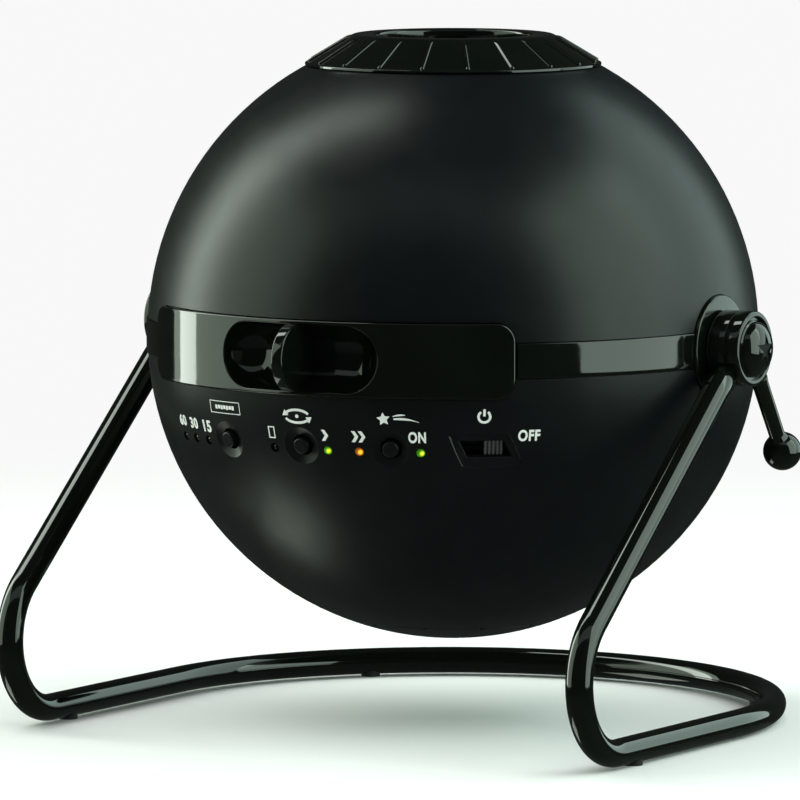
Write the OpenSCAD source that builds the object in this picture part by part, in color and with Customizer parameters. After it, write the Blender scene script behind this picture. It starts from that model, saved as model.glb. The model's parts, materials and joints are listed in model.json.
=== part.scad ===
// Home planetarium projector: a ball that holds a lamp, a star disc and a lens,
// hung between the two ends of a bent tube stand.
// Origin: on the table, straight below the pivot centre. +Z up, front is -Y, +X is the lever side.

/* [Ball] */
// Radius of the body ball
ball_r = 75; // [73:0.5:78]
// Wall of the two body shells
shell_wall = 2.4; // [2:0.1:3]
// Height of the pivot centre above the table
pivot_h = 95; // [90:0.5:105]
// Gap round a part that sits in another without moving
seat_gap = 0.2; // [0.1:0.05:0.3]
// Radial clearance of a part that turns or slides in a round bore
run_gap = 0.07; // [0.04:0.01:0.1]

/* [Belt and tray front] */
// Height of the belt round the equator
belt_h = 8.4; // [6:0.2:11]
// How far the belt stands out of the ball at the equator
belt_proud = 0.25; // [0.1:0.05:0.8]
// Thickness of the belt
belt_t = 1.4; // [1:0.1:1.6]
// Angle from the front to each end of the tray front
plate_half_angle = 41.5; // [38:0.5:46]
// Height of the tray front
plate_h = 18; // [17:0.5:20]
// How far the tray front stands out of the ball at the equator
plate_proud = 0.7; // [0.4:0.1:1.2]
// Corner radius of the tray front
plate_corner_r = 4.6; // [3:0.2:6]
// Radius of the finger scoop, and of its half-round fin
scoop_r = 8; // [7:0.1:8.2]
// Wall behind the scoop
scoop_wall = 1.2; // [1.1:0.1:1.5]
// Angle from the front to the centre of each end of the scoop
scoop_half_angle = 10.3; // [8:0.1:13]
// Thickness of the fin
fin_t = 3; // [2:0.2:4]

/* [Controls] */
// Latitude of the row of buttons
control_lat = -16.6; // [-19:0.1:-15]
// Angle between neighbouring buttons
button_pitch = 18.3; // [16:0.1:20]
// Radius of a button
button_r = 2.25; // [1.8:0.05:2.8]
// How far a button can be pressed
button_travel = 0.8; // [0.5:0.1:1.2]
// Radius of the dish round a button
dish_r = 5; // [4:0.1:5.6]
// Depth of the dish
dish_depth = 1.1; // [0.8:0.1:1.3]
// Latitude of the row of lamps
lamp_lat = -17.3; // [-19:0.1:-15]
// Radius of a lamp
lamp_r = 1.2; // [0.9:0.1:1.5]
// Azimuth of the power switch from the front
switch_az = 36.4; // [34:0.2:38]
// Height of the slot
slot_h = 4; // [3.4:0.1:5]
// How far the slot's ends lean
slot_lean = 2; // [0:0.1:3]
// Depth of the funnel round the slot
funnel_depth = 1.5; // [0.8:0.1:1.7]
// Length of the power knob
knob_l = 4.4; // [3.6:0.1:5]
// How far the power knob slides
knob_travel = 4; // [3:0.1:4.1]

/* [Focus hood and lens] */
// Radius of the focus ring at its foot
hood_foot_r = 36.3; // [34:0.1:39]
// Radius of the focus ring at its rim
hood_rim_r = 24.4; // [23:0.1:27]
// How far the focus ring's rim lies below the height of a full ball
hood_sink = 1.5; // [0:0.1:2]
// Radius of the opening in the focus ring
hood_bore_r = 19.3; // [18.8:0.1:20]
// Number of grip ribs on the focus ring
rib_count = 20; // [12:1:28]
// Width of a grip rib
rib_w = 1; // [0.6:0.1:1.6]
// Outer radius of the lens barrel
barrel_r = 16.8; // [16:0.1:17.2]
// Clear radius through the lens barrel
lens_clear_r = 13.6; // [12:0.1:14]
// How far the lens barrel's top lies below the focus ring's rim
barrel_sink = 4.3; // [3.9:0.1:4.9]
// How far the lens barrel moves up or down from its middle place
focus_travel = 2.5; // [1.5:0.1:2.8]

/* [Stand] */
// Radius of the stand's tube
tube_r = 3.3; // [3:0.1:3.6]
// How far the tube's middle line lies outside the middle of a hub eye
tube_offset = 1.5; // [1.2:0.1:1.8]
// Angle of the legs below level
leg_angle = 39.8; // [36:0.2:44]
// Radius of the bend between a leg and the floor loop
bend_r = 18; // [12:0.5:22]
// How far in front of the pivot the rear arc's centre lies
arc_front = 1.4; // [0:0.5:10]
// Thickness of the pads under the tube
pad_t = 0.5; // [0.4:0.1:1.5]

/* [Pivot and lever] */
// Radius of the hub eyes and the clamp head
hub_r = 9.1; // [8.6:0.1:9.8]
// Radius of the flange on the ball
flange_r = 12.6; // [11:0.1:14]
// Radius of the pivot pin and the clamp stud
pin_r = 2; // [1.6:0.1:2.4]
// Length of the clamp head
head_l = 3.8; // [3.6:0.1:4.6]
// Height of the hub caps' domes
cap_dome_h = 3.2; // [2:0.1:4]
// Radius of the lever rod
lever_r = 2; // [1.7:0.1:2.1]
// Distance from the pivot axis to the lever's ball
lever_l = 31.6; // [26:0.2:38]
// Radius of the lever's ball
lever_ball_r = 4.7; // [4:0.1:5.5]
// Angle of the lever behind straight down
lever_angle = 33.4; // [20:0.2:50]

/* [Star disc and drive] */
// Tooth size of the disc drive
gear_module = 0.8; // [0.8:0.1:0.8]
// Teeth on the star disc
disc_teeth = 76; // [74:1:76]
// Teeth on the motor's pinion
pinion_teeth = 14; // [12:1:14]
// Thickness of the disc's gear frame
frame_t = 2.4; // [1.8:0.1:2.6]
// Clear radius of the light hole in the tray
light_r = 21.4; // [19:0.1:22]
// Half width of the tray's deck
deck_half_w = 34.4; // [34:0.1:35]
// Thickness of the tray's deck
deck_t = 1.8; // [1.4:0.1:2]

/* [Battery and lamp] */
// Radius of the round battery lid
lid_r = 27; // [25:0.5:30]
// Radius of a battery cell
cell_r = 7.1; // [6.8:0.1:7.2]
// Length of a battery cell
cell_l = 50; // [48:0.5:50.5]
// Outer radius of the battery box
box_r = 20.5; // [20:0.1:21]
// Number of fins on the heat sink
fin_count = 24; // [12:1:30]

/* [Hidden] */

// Facets of the large, middle and small round shapes
$fn = 48;
fine = 160;
small = 24;
// How far a cutting tool runs past the face it cuts
past = 1;

// Colours, as the object shows them
satin_black = [0.07, 0.08, 0.08];
gloss_black = [0.04, 0.045, 0.04];
steel = [0.62, 0.63, 0.65];
board_green = [0.06, 0.3, 0.14];
clear_glass = [0.75, 0.85, 0.9, 0.45];
dark_film = [0.05, 0.06, 0.12];

// Ball: inner radius, and the cylinders that the belt and the tray front sit on
inner_r = ball_r - shell_wall;
belt_r = ball_r + belt_proud;
belt_seat_r = belt_r - belt_t - seat_gap / 2;
plate_r = ball_r + plate_proud;
plate_t = 1.9;
plate_seat_r = plate_r - plate_t - seat_gap;
opening_half_angle = 32;
scoop_back_r = plate_r - scoop_r - scoop_wall;
scoop_notch_angle = scoop_half_angle + asin((scoop_r + scoop_wall) / plate_r) + 0.4;
seam_h = 6;
seam_r = inner_r - 1.5;

// Pivot: distances from the middle along X
flange_seat = ball_r - 2;
flange_face = ball_r;
washer_t = 0.4;
eye_in = flange_face + washer_t + 2 * seat_gap;
eye_l = 4.4;
eye_out = eye_in + eye_l;
head_in = eye_out + seat_gap;
cap_t = 0.9;
cap_r = hub_r - 1.4;
boss_r = 9;
flange_nut_t = 2.4;
flange_pad = inner_r - 3;
stud_end = flange_pad - 4;
lever_x = head_in + lever_r;
spigot_r = 0.8;
spigot_in = 5;
head_out = head_in + head_l;
edge_round = 0.4;

// Stand: the leg and the floor loop in the plane of one side, Y and Z from the table
stand_half_w = (eye_in + eye_out) / 2 + tube_offset;
tube_z = pad_t + tube_r;
hub_gap = 0.4;
leg_start = hub_r + hub_gap;
leg_turn = 180 - leg_angle;
leg_drop = pivot_h - tube_z;
corner_y = -leg_drop / tan(leg_angle);
tangent_l = bend_r * tan(leg_turn / 2);
bend_y = corner_y + tangent_l;
bend_z = tube_z + bend_r;
leg_l = leg_drop / sin(leg_angle) - tangent_l - leg_start;
arc_y = -arc_front;
leg_spigot_r = 1.6;
tube_join = 0.5;
tube_step = 0.02;
leg_spigot_in = 4;
pad_r = 2.4;
front_pad_y = bend_y + 8;
rear_pad_angle = 45;

// Focus hood, lens sleeve and barrel: heights from the ball's centre
hood_gap = 0.3;
hood_top = ball_r - hood_sink;
barrel_top = hood_top - barrel_sink;
skirt_r = hood_bore_r + 1.9;
skirt_bottom = hood_top - 8.7;
skirt_hole_r = skirt_r + run_gap;
neck_r = skirt_hole_r + 3.2;
neck_bottom = skirt_bottom + seat_gap;
retainer_r = skirt_hole_r + 2.3;
retainer_t = 1.4;
foot_z = sqrt(pow(ball_r, 2) - pow(hood_foot_r, 2)) + hood_gap;
foot_lip = 0.6;
rim_w = 1.1;
sleeve_in_r = barrel_r + run_gap;
sleeve_out_r = sleeve_in_r + 1.7;
sleeve_top = skirt_bottom - retainer_t - 0.4;
sleeve_flange_r = 31;
sleeve_flange_t = 2;
sleeve_flange_top = sleeve_top - 0.4;
sleeve_post_r = 3;
sleeve_post_at = 28;
barrel_bottom = barrel_top - 29.2;
sleeve_bottom = barrel_bottom - 10;
lens_r = barrel_r - 1.9;
front_seat = barrel_top - 10.7;
rear_seat = barrel_top - 21.7;
lens_edge = 3;
lens_crown = 2.4;
lens_ring_t = 2;
lug_r = hood_bore_r + 1.1;
lug_w = 3;
lug_t = 1.6;
keyway_h = barrel_top + focus_travel + 0.3 - skirt_bottom + past;

// Tray, disc and drive: heights from the ball's centre
deck_z = -0.8;
deck_top = deck_z + deck_t;
deck_rear = 27;
disc_r = gear_module * disc_teeth / 2;
pinion_r = gear_module * pinion_teeth / 2;
tip = 0.8 * gear_module;
root = 1.2 * gear_module;
pressure_angle = 20;
backlash = 0.12;
drive_y = disc_r + pinion_r;
well_r = disc_r + tip + 0.35;
well_wall = 1.3;
disc_lift = 0.1;
disc_z = deck_top + disc_lift;
rim_r = light_r + 1.6;
rim_h = 1.6;
film_r = rim_r + 3;
film_t = 0.25;
film_seat = 0.4;
rail_gap = 0.3;
rail_out = deck_half_w + 3.6;
rail_lip = deck_half_w - 1.2;
rail_top = deck_top + 3;
rail_rear = 30;

// Lamp stack and battery: heights from the ball's centre
box_bottom = 5.8 - inner_r;
cell_bottom = box_bottom - 0.1;
chassis_top = cell_bottom + cell_l + 1.7;
chassis_t = 2;
chassis_r = inner_r - 6.6;
board_at = inner_r - 13.6;
chassis_front = board_at - 10;
rail_front = chassis_front - 1;
sink_r = 20;
sink_t = 1.8;
sink_fin_r = 26.2;
sink_fin_h = 8;
board_z = chassis_top + sink_t;
board_t = 1.4;
emitter_z = board_z + board_t;
house_r = 18.2;
house_wall = 1.6;
house_top = deck_z - 0.7;
condenser_r = house_r - house_wall - 0.1;
condenser_bottom = house_top - 7;
cell_at = cell_r / cos(30) + 0.6;
post_at = [[50, 12], [-50, 12], [44, -30], [-44, -30]];
post_r = 3.5;
screw_r = 1.2;
screw_head_r = 2.4;
screw_head_h = 1.6;
screw_l = 8;
shell_screw_at = [[30, 45], [-30, 45]];
shell_boss_r = 3.6;
shell_screw_head = -14;
shell_screw_l = 22;

// Battery lid
lid_gap = 0.25;
ledge_in = lid_r - 2;
ledge_out = lid_r + 2.5;
ledge_top = box_bottom + 1.6;
lid_screw_y = 22.8;
lid_tab_r = 3.2;
lid_tab_top = box_bottom - 0.4;
lid_screw_seat = 5.1 - ball_r;
lid_notches = 12;
notch_r = 0.8;

// Controls
lamp_azimuths_green = [5.5, 24];
lamp_azimuths_amber = [12];
lamp_azimuths_unlit = [-34.3, -29.7, -25.1, -6.3];
lamp_l = 6;
lamp_proud = 0.35;
board_size = [60, 12, 1.6];
switch_tip_gap = 0.9;
slot_l = knob_l + knob_travel + slot_lean + seat_gap;
switch_size = [14, 6, 5];
switch_back = inner_r - 8.5;
tact_size = 6;
tact_h = 3.4;
button_proud = 0.9;

// ---------- Helpers ----------

module in_ball() translate([0, 0, pivot_h]) children();

// Puts local +Z on the ball's outward normal, with azimuth from the front and +Y up.
module on_ball(az, lat, r = 0) rotate([90 - lat, 0, az]) translate([0, 0, r]) children();

// A sphere round the ball's centre, turned so that its own edge line runs down the rear.
module body_sphere(r) rotate([0, 0, 100]) sphere(r, $fn = fine);

// Puts local +Z on the row's +X or -X, for the right or the left side.
module on_side(side, x = 0) rotate([0, 90 * side, 0]) translate([0, 0, x]) children();

module ring(outer, inner, h) {
    difference() {
        cylinder(r = outer, h = h);
        translate([0, 0, -past]) cylinder(r = inner, h = h + 2 * past);
    }
}

// Part of a ring about Z, centred on the front and on height 0.
module front_sector(half_angle, r_in, r_out, h) {
    rotate([0, 0, -90 - half_angle])
        rotate_extrude(angle = 2 * half_angle, $fn = fine)
            translate([r_in, -h / 2]) square([r_out - r_in, h]);
}

module upper_half() {
    translate([-2 * ball_r, -2 * ball_r, 0]) cube([4 * ball_r, 4 * ball_r, 2 * ball_r]);
}

// A round-headed screw pointing along -Z, with its head's seat at height 0.
module screw(length) {
    translate([0, 0, -length]) cylinder(r = screw_r, h = length, $fn = small);
    difference() {
        cylinder(r = screw_head_r, h = screw_head_h, $fn = small);
        for (turn = [0, 90]) {
            rotate([0, 0, turn])
                translate([-screw_head_r * 0.6, -0.3, screw_head_h - 0.9])
                    cube([screw_head_r * 1.2, 0.6, past + 0.9]);
        }
    }
}

// ---------- Stand ----------

// The straight lengths are a hair thinner than the bends, and reach a little way into them.
module floor_tube() {
    for (side = [-1, 1]) {
        translate([side * stand_half_w, bend_y - tube_join, tube_z]) rotate([-90, 0, 0])
            cylinder(r = tube_r - tube_step, h = arc_y - bend_y + 2 * tube_join);
    }
    translate([0, arc_y, tube_z]) rotate_extrude(angle = 180, $fn = fine)
        translate([stand_half_w, 0]) circle(tube_r, $fn = 40);
}

module leg_tube() {
    translate([0, 0, pivot_h]) rotate([90 + leg_angle, 0, 0]) rotate_extrude()
        polygon([[0, leg_start], [tube_r - 1, leg_start], [tube_r - tube_step, leg_start + 1],
            [tube_r - tube_step, leg_start + leg_l + tube_join], [0, leg_start + leg_l + tube_join]]);
    translate([0, bend_y, bend_z]) rotate([0, 0, 90]) rotate([90, 0, 0]) rotate([0, 0, 90 + leg_angle])
        rotate_extrude(angle = leg_turn, $fn = 96) translate([bend_r, 0]) circle(tube_r, $fn = 40);
}

module leg_spigot() {
    // a thin neck on the leg's end that plugs into the hub eye
    translate([(eye_in + eye_out) / 2 - stand_half_w, 0, pivot_h]) rotate([90 + leg_angle, 0, 0])
        translate([0, 0, leg_start - leg_spigot_in])
            cylinder(r = leg_spigot_r, h = leg_spigot_in + 1, $fn = small);
}

module stand_tube() color(gloss_black) {
    floor_tube();
    for (side = [0, 1]) mirror([side, 0, 0]) translate([stand_half_w, 0, 0]) {
        leg_tube();
        leg_spigot();
    }
}

module anti_slip_pads() color("dimgray") difference() {
    union() {
        for (side = [-1, 1]) {
            translate([side * stand_half_w, front_pad_y, 0]) cylinder(r = pad_r, h = tube_z / 2);
            translate([0, arc_y, 0]) rotate([0, 0, 90 + side * rear_pad_angle])
                translate([stand_half_w, 0, 0]) cylinder(r = pad_r, h = tube_z / 2);
        }
    }
    floor_tube();
}

module hub_eye() {
    rotate_extrude($fn = 96) polygon([[pin_r + run_gap, eye_in], [hub_r - edge_round, eye_in],
        [hub_r, eye_in + edge_round], [hub_r, eye_out - seat_gap], [hub_r - seat_gap, eye_out],
        [pin_r + run_gap, eye_out]]);
}

// The hole in a hub eye that takes the leg's neck.
module leg_socket(side) {
    translate([side * (eye_in + eye_out) / 2, 0, 0]) rotate([90 + leg_angle, 0, 0])
        translate([0, 0, leg_start - leg_spigot_in])
            cylinder(r = leg_spigot_r, h = leg_spigot_in + past, $fn = small);
}

module right_hub_eye() color(gloss_black) in_ball() difference() {
    on_side(1) hub_eye();
    leg_socket(1);
}

module left_hub_eye() color(gloss_black) in_ball() difference() {
    union() {
        on_side(-1) hub_eye();
        on_side(-1) hub_barrel(eye_out);
    }
    leg_socket(-1);
}

// The outer length of a hub, with the ring that the cap sits in.
module hub_barrel(from) {
    rotate_extrude($fn = 96) polygon([[pin_r, from], [hub_r - 0.2, from], [hub_r, from + 0.2],
        [hub_r, head_out - 0.5], [hub_r - 0.5, head_out], [cap_r + 0.2, head_out],
        [cap_r, head_out - 0.2], [cap_r, head_out - cap_t], [pin_r, head_out - cap_t]]);
}

module star(r, points = 5, waist = 0.42) {
    polygon([for (i = [0 : 2 * points - 1])
        (i % 2 == 0 ? r : r * waist) * [cos(i * 180 / points), sin(i * 180 / points)]]);
}

// A glossy dome with a plain five-pointed star sunk in it.
module hub_cap() {
    dome_r = cap_r - 0.15;
    round_r = (pow(dome_r, 2) + pow(cap_dome_h, 2)) / (2 * cap_dome_h);
    difference() {
        union() {
            translate([0, 0, head_out - cap_t]) cylinder(r = dome_r, h = cap_t, $fn = 96);
            intersection() {
                translate([0, 0, head_out]) cylinder(r = dome_r, h = cap_dome_h + past, $fn = 96);
                translate([0, 0, head_out + cap_dome_h - round_r]) sphere(round_r, $fn = 96);
            }
        }
        translate([0, 0, head_out + cap_dome_h - 0.8]) linear_extrude(past + 0.8) star(3.2);
    }
}

module left_hub_cap() color(gloss_black) in_ball() on_side(-1) hub_cap();

module left_pivot_pin() color(steel) in_ball() on_side(-1, stud_end)
    cylinder(r = pin_r, h = head_out - cap_t - stud_end);

module friction_washers() color("dimgray") in_ball() for (side = [-1, 1]) {
    on_side(side, flange_face + seat_gap) ring(hub_r - 1, pin_r + run_gap, washer_t);
}

// ---------- Clamp lever ----------

module clamp_head() color(gloss_black) in_ball() difference() {
    on_side(1) hub_barrel(head_in);
    lever_frame() cylinder(r = spigot_r, h = hub_r + past, $fn = small);
}

module lever_frame() {
    translate([lever_x, 0, 0]) rotate([180 + lever_angle, 0, 0]) children();
}

module clamp_stud() color(steel) in_ball() on_side(1, stud_end)
    cylinder(r = pin_r, h = head_out - cap_t - stud_end);

module lever_rod() color(gloss_black) in_ball() lever_frame() {
    translate([0, 0, spigot_in]) cylinder(r = spigot_r, h = hub_r + past - spigot_in, $fn = small);
    translate([0, 0, hub_r]) cylinder(r = lever_r, h = lever_l - lever_ball_r * 0.8 - hub_r);
}

module lever_ball() color(gloss_black) in_ball() lever_frame() difference() {
    translate([0, 0, lever_l]) sphere(lever_ball_r, $fn = 64);
    cylinder(r = lever_r, h = lever_l - lever_ball_r * 0.8);
}

module right_hub_cap() color(gloss_black) in_ball() on_side(1) hub_cap();

// ---------- Shells ----------

// What both shells share: the wall, the seam rim and the pads behind the pivot flanges.
module shell_stock() {
    difference() {
        union() {
            difference() {
                body_sphere(ball_r);
                body_sphere(inner_r);
            }
            translate([0, 0, -seam_h]) ring(inner_r + shell_wall / 4, seam_r, 2 * seam_h, $fn = fine);
            intersection() {
                for (side = [-1, 1]) on_side(side, flange_pad) cylinder(r = flange_r + 1.4, h = 10);
                body_sphere(ball_r - shell_wall / 2);
            }
        }
        translate([0, 0, -belt_h / 2 - seat_gap])
            ring(ball_r + 5, belt_seat_r, belt_h + 2 * seat_gap, $fn = fine);
        front_sector(plate_half_angle + 0.25, plate_seat_r, ball_r + 5, plate_h + 2 * seat_gap);
        front_sector(opening_half_angle, seam_r - 5, ball_r + 5, plate_h + 2 * seat_gap);
        for (side = [-1, 1]) {
            on_side(side, flange_pad - past) cylinder(r = boss_r + seat_gap / 2, h = 20);
            on_side(side, flange_seat) cylinder(r = flange_r + seat_gap, h = 20);
        }
    }
}

module upper_shell() color(satin_black) in_ball() difference() {
    union() {
        intersection() {
            shell_stock();
            upper_half();
        }
        // neck round the focus ring's skirt, posts for the lens sleeve and bosses for the screws
        intersection() {
            union() {
                translate([0, 0, neck_bottom]) cylinder(r = neck_r, h = ball_r - neck_bottom);
                for (turn = [30, 150, 270]) {
                    rotate([0, 0, turn]) translate([sleeve_post_at, 0, sleeve_flange_top])
                        cylinder(r = sleeve_post_r, h = ball_r - sleeve_flange_top);
                }
                for (at = shell_screw_at) translate(at) cylinder(r = shell_boss_r, h = ball_r);
            }
            body_sphere(ball_r - shell_wall / 2);
        }
    }
    translate([0, 0, neck_bottom - past]) cylinder(r = skirt_hole_r, h = 20, $fn = 96);
    for (turn = [30, 150, 270]) {
        rotate([0, 0, turn]) translate([sleeve_post_at, 0, sleeve_flange_top - past])
            cylinder(r = screw_r, h = past + 3, $fn = small);
    }
    for (at = shell_screw_at) translate([at.x, at.y, -past])
        cylinder(r = screw_r, h = past + shell_screw_head + shell_screw_l + 3, $fn = small);
}

module button_cut(az) {
    dish_round = (pow(dish_r, 2) + pow(dish_depth, 2)) / (2 * dish_depth);
    on_ball(az, control_lat, ball_r + dish_round - dish_depth) sphere(dish_round, $fn = 96);
    on_ball(az, control_lat, inner_r - past)
        cylinder(r = button_r + 2 * seat_gap, h = shell_wall + 2 * past, $fn = 32);
}

// A leaning slot: the top is shifted one way and the bottom the other.
module slot_shape(grow_x = 0, grow_top = 0, grow_bottom = 0) {
    lean = slot_lean / slot_h;
    top = slot_h / 2 + grow_top;
    low = -slot_h / 2 - grow_bottom;
    half = slot_l / 2 + grow_x;
    polygon([[-half - lean * top, top], [half - lean * top, top],
        [half - lean * low, low], [-half - lean * low, low]]);
}

module switch_cut() {
    on_ball(switch_az, control_lat, inner_r - past)
        linear_extrude(shell_wall + 2 * past) slot_shape();
    on_ball(switch_az, control_lat, ball_r - funnel_depth) hull() {
        linear_extrude(0.01) slot_shape(0.6, 0.3, 0.3);
        translate([0, 0, funnel_depth + 0.3]) linear_extrude(0.01) slot_shape(3.2, 2.6, 3.6);
    }
}

module lamp_cuts() {
    for (az = concat(lamp_azimuths_green, lamp_azimuths_amber, lamp_azimuths_unlit)) {
        on_ball(az, lamp_lat, inner_r - past)
            cylinder(r = lamp_r, h = shell_wall + 2 * past, $fn = small);
    }
}

module lower_shell() color(satin_black) in_ball() difference() {
    union() {
        difference() {
            shell_stock();
            upper_half();
        }
        intersection() {
            union() {
                for (at = post_at) translate([at.x, at.y, -ball_r])
                    cylinder(r = post_r, h = ball_r + chassis_top - chassis_t);
                for (at = shell_screw_at) translate([at.x, at.y, -ball_r])
                    cylinder(r = shell_boss_r, h = ball_r);
                // ledge that the battery lid seats on, with the tab for its screw
                translate([0, 0, -ball_r]) ring(ledge_out, ledge_in, ball_r + ledge_top, $fn = 96);
                translate([0, lid_screw_y, -ball_r]) cylinder(r = lid_tab_r, h = ball_r + lid_tab_top);
            }
            body_sphere(ball_r - shell_wall / 2);
        }
    }
    difference() {
        translate([0, 0, -ball_r - past]) cylinder(r = lid_r + lid_gap, h = 20, $fn = 96);
        body_sphere(inner_r - seat_gap / 2);
    }
    translate([0, lid_screw_y, -ball_r]) cylinder(r = screw_r, h = 12 + past, $fn = small);
    for (at = post_at) translate([at.x, at.y, chassis_top - chassis_t - screw_l])
        cylinder(r = screw_r, h = screw_l + past, $fn = small);
    for (at = shell_screw_at) translate(at) {
        translate([0, 0, shell_screw_head - past]) cylinder(r = screw_r, h = shell_screw_l, $fn = small);
        translate([0, 0, -ball_r]) cylinder(r = screw_head_r + seat_gap, h = ball_r + shell_screw_head);
    }
    for (i = [-1, 0, 1]) button_cut(i * button_pitch);
    switch_cut();
    lamp_cuts();
    on_ball(180, -24, inner_r - 8) cylinder(r = 4, h = 20, $fn = 32);
}

// ---------- Belt ----------

module belt_stock() {
    difference() {
        translate([0, 0, -belt_h / 2]) ring(belt_r, belt_seat_r + seat_gap / 2, belt_h, $fn = fine);
        for (side = [-1, 1]) on_side(side, flange_seat - 10) cylinder(r = flange_r + 2 * seat_gap, h = 30);
        front_sector(plate_half_angle + 0.5, seam_r, ball_r + 5, belt_h + past);
    }
}

module belt_part(x_from, x_to, y_from, y_to) {
    intersection() {
        belt_stock();
        translate([x_from, y_from, -belt_h]) cube([x_to - x_from, y_to - y_from, 2 * belt_h]);
    }
}

module belt_front_left() color(gloss_black) in_ball()
    belt_part(-ball_r - 5, 0, -ball_r - 5, 0);

module belt_front_right() color(gloss_black) in_ball()
    belt_part(0, ball_r + 5, -ball_r - 5, 0);

module belt_rear() color(gloss_black) in_ball()
    belt_part(-ball_r - 5, ball_r + 5, 0, ball_r + 5);

// ---------- Pivot flanges ----------

module pivot_flange() {
    edge = 0.6;
    rotate_extrude($fn = 96) polygon([[pin_r + run_gap, stud_end + 1], [boss_r, stud_end + 1],
        [boss_r, flange_seat], [flange_r, flange_seat], [flange_r, flange_face - edge],
        [flange_r - edge, flange_face], [pin_r + run_gap, flange_face]]);
}

module left_pivot_flange() color(gloss_black) in_ball() on_side(-1) pivot_flange();

module right_pivot_flange() color(gloss_black) in_ball() on_side(1) pivot_flange();

module flange_nuts() color("gray") in_ball() for (side = [-1, 1]) {
    on_side(side, flange_pad - flange_nut_t) difference() {
        cylinder(r = flange_r, h = flange_nut_t);
        translate([0, 0, -past]) cylinder(r = boss_r, h = flange_nut_t + 2 * past);
        for (turn = [0 : 60 : 300]) rotate([0, 0, turn]) translate([flange_r, 0, -past])
            cylinder(r = 1.4, h = flange_nut_t + 2 * past, $fn = small);
    }
}

module shell_screws() color(steel) in_ball() for (at = shell_screw_at) {
    translate([at.x, at.y, shell_screw_head]) mirror([0, 0, 1]) screw(shell_screw_l);
}

// ---------- Chassis and drive ----------

module chassis() color("dimgray") in_ball() difference() {
    intersection() {
        translate([0, 0, chassis_top - chassis_t]) cylinder(r = chassis_r, h = chassis_t, $fn = 96);
        translate([-ball_r, -chassis_front, chassis_top - chassis_t - past])
            cube([2 * ball_r, chassis_front + ball_r, chassis_t + 2 * past]);
    }
    translate([0, 0, chassis_top - chassis_t - past])
        cylinder(r = box_r + seat_gap, h = chassis_t + 2 * past);
    for (at = post_at) translate([at.x, at.y, chassis_top - chassis_t - past])
        cylinder(r = screw_r + seat_gap, h = chassis_t + 2 * past, $fn = small);
    for (at = shell_screw_at) translate([at.x, at.y, chassis_top - chassis_t - past])
        cylinder(r = shell_boss_r + seat_gap, h = chassis_t + 2 * past);
    // room for the power switch
    on_ball(switch_az, control_lat, switch_back - 2 * seat_gap)
        translate([-switch_size.x / 2 - seat_gap, -switch_size.y, 0])
            cube([switch_size.x + 2 * seat_gap, 2 * switch_size.y + 4, ball_r]);
}

module chassis_screws() color(steel) in_ball() for (at = post_at) {
    translate([at.x, at.y, chassis_top]) screw(chassis_t + screw_l - 1);
}

module tray_rails() color("gray") in_ball() for (side = [0, 1]) mirror([side, 0, 0]) {
    difference() {
        translate([rail_lip, -rail_front, chassis_top])
            cube([rail_out - rail_lip, rail_front + rail_rear, rail_top - chassis_top]);
        translate([rail_lip - past, -rail_front - past, deck_z - rail_gap / 2])
            cube([deck_half_w + rail_gap - rail_lip + past, rail_front + rail_rear + 2 * past,
                deck_t + rail_gap]);
        // relief below the groove, so that a rail is a web and two lips
        translate([rail_lip - past, -rail_front - past, chassis_top + 2])
            cube([1.6 + past, rail_front + rail_rear + 2 * past, deck_z - chassis_top - 4]);
    }
}

// Involute of a circle: the point at unwinding angle t, in degrees.
function involute(base, t) =
    [base * (cos(t) + t * PI / 180 * sin(t)), base * (sin(t) - t * PI / 180 * cos(t))];

// Angle of the involute's point at radius r, in degrees.
function involute_angle(base, r) = r <= base ? 0 : tan(acos(base / r)) * 180 / PI - acos(base / r);

function polar(r, a) = [r * cos(a), r * sin(a)];

// Points of one tooth, centred on angle 0, from its root on one side to its root on the other.
function tooth(pitch, teeth) =
    let (base = pitch * cos(pressure_angle), outer = pitch + tip, low = pitch - root,
        half = 90 / teeth - backlash / pitch * 90 / PI + involute_angle(base, pitch),
        start = max(base, low), steps = 2,
        radii = [for (i = [0 : steps]) start + (outer - start) * i / steps])
    concat([polar(low, -half)], [for (r = radii) polar(r, involute_angle(base, r) - half)],
        [for (i = [steps : -1 : 0]) polar(radii[i], half - involute_angle(base, radii[i]))],
        [polar(low, half)]);

module gear_outline(pitch, teeth) {
    polygon([for (i = [0 : teeth - 1], p = tooth(pitch, teeth))
        let (a = 360 * i / teeth) [p.x * cos(a) - p.y * sin(a), p.x * sin(a) + p.y * cos(a)]]);
}

module drive_pinion() color("ivory") in_ball() translate([0, drive_y, disc_z]) {
    rotate([0, 0, -90 + 180 / pinion_teeth]) linear_extrude(frame_t + 0.4)
        gear_outline(pinion_r, pinion_teeth);
    translate([0, 0, -disc_z + deck_z - 3]) cylinder(r = 1, h = disc_z - deck_z + 3, $fn = small);
}

module gear_motor() color(steel) in_ball() translate([0, drive_y, chassis_top]) difference() {
    cylinder(r = 8.6, h = deck_z - 1.5 - chassis_top);
    translate([0, 0, deck_z - 4.5 - chassis_top]) cylinder(r = 1 + run_gap, h = 10, $fn = small);
}

module motor_bracket() color(steel) in_ball() {
    plate_z = deck_z - 1.5;
    bracket = [26, 18, 1.2];
    front_y = deck_rear + 3 * seat_gap;
    difference() {
        union() {
            translate([-bracket.x / 2, front_y, plate_z]) cube(bracket);
            for (side = [0, 1]) mirror([side, 0, 0])
                translate([bracket.x / 2 - bracket.z, front_y, chassis_top])
                    cube([bracket.z, bracket.y, plate_z - chassis_top]);
        }
        translate([0, drive_y, plate_z - past])
            cylinder(r = pin_r + 1, h = bracket.z + 2 * past, $fn = 32);
    }
}

// ---------- Tray and disc ----------

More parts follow.
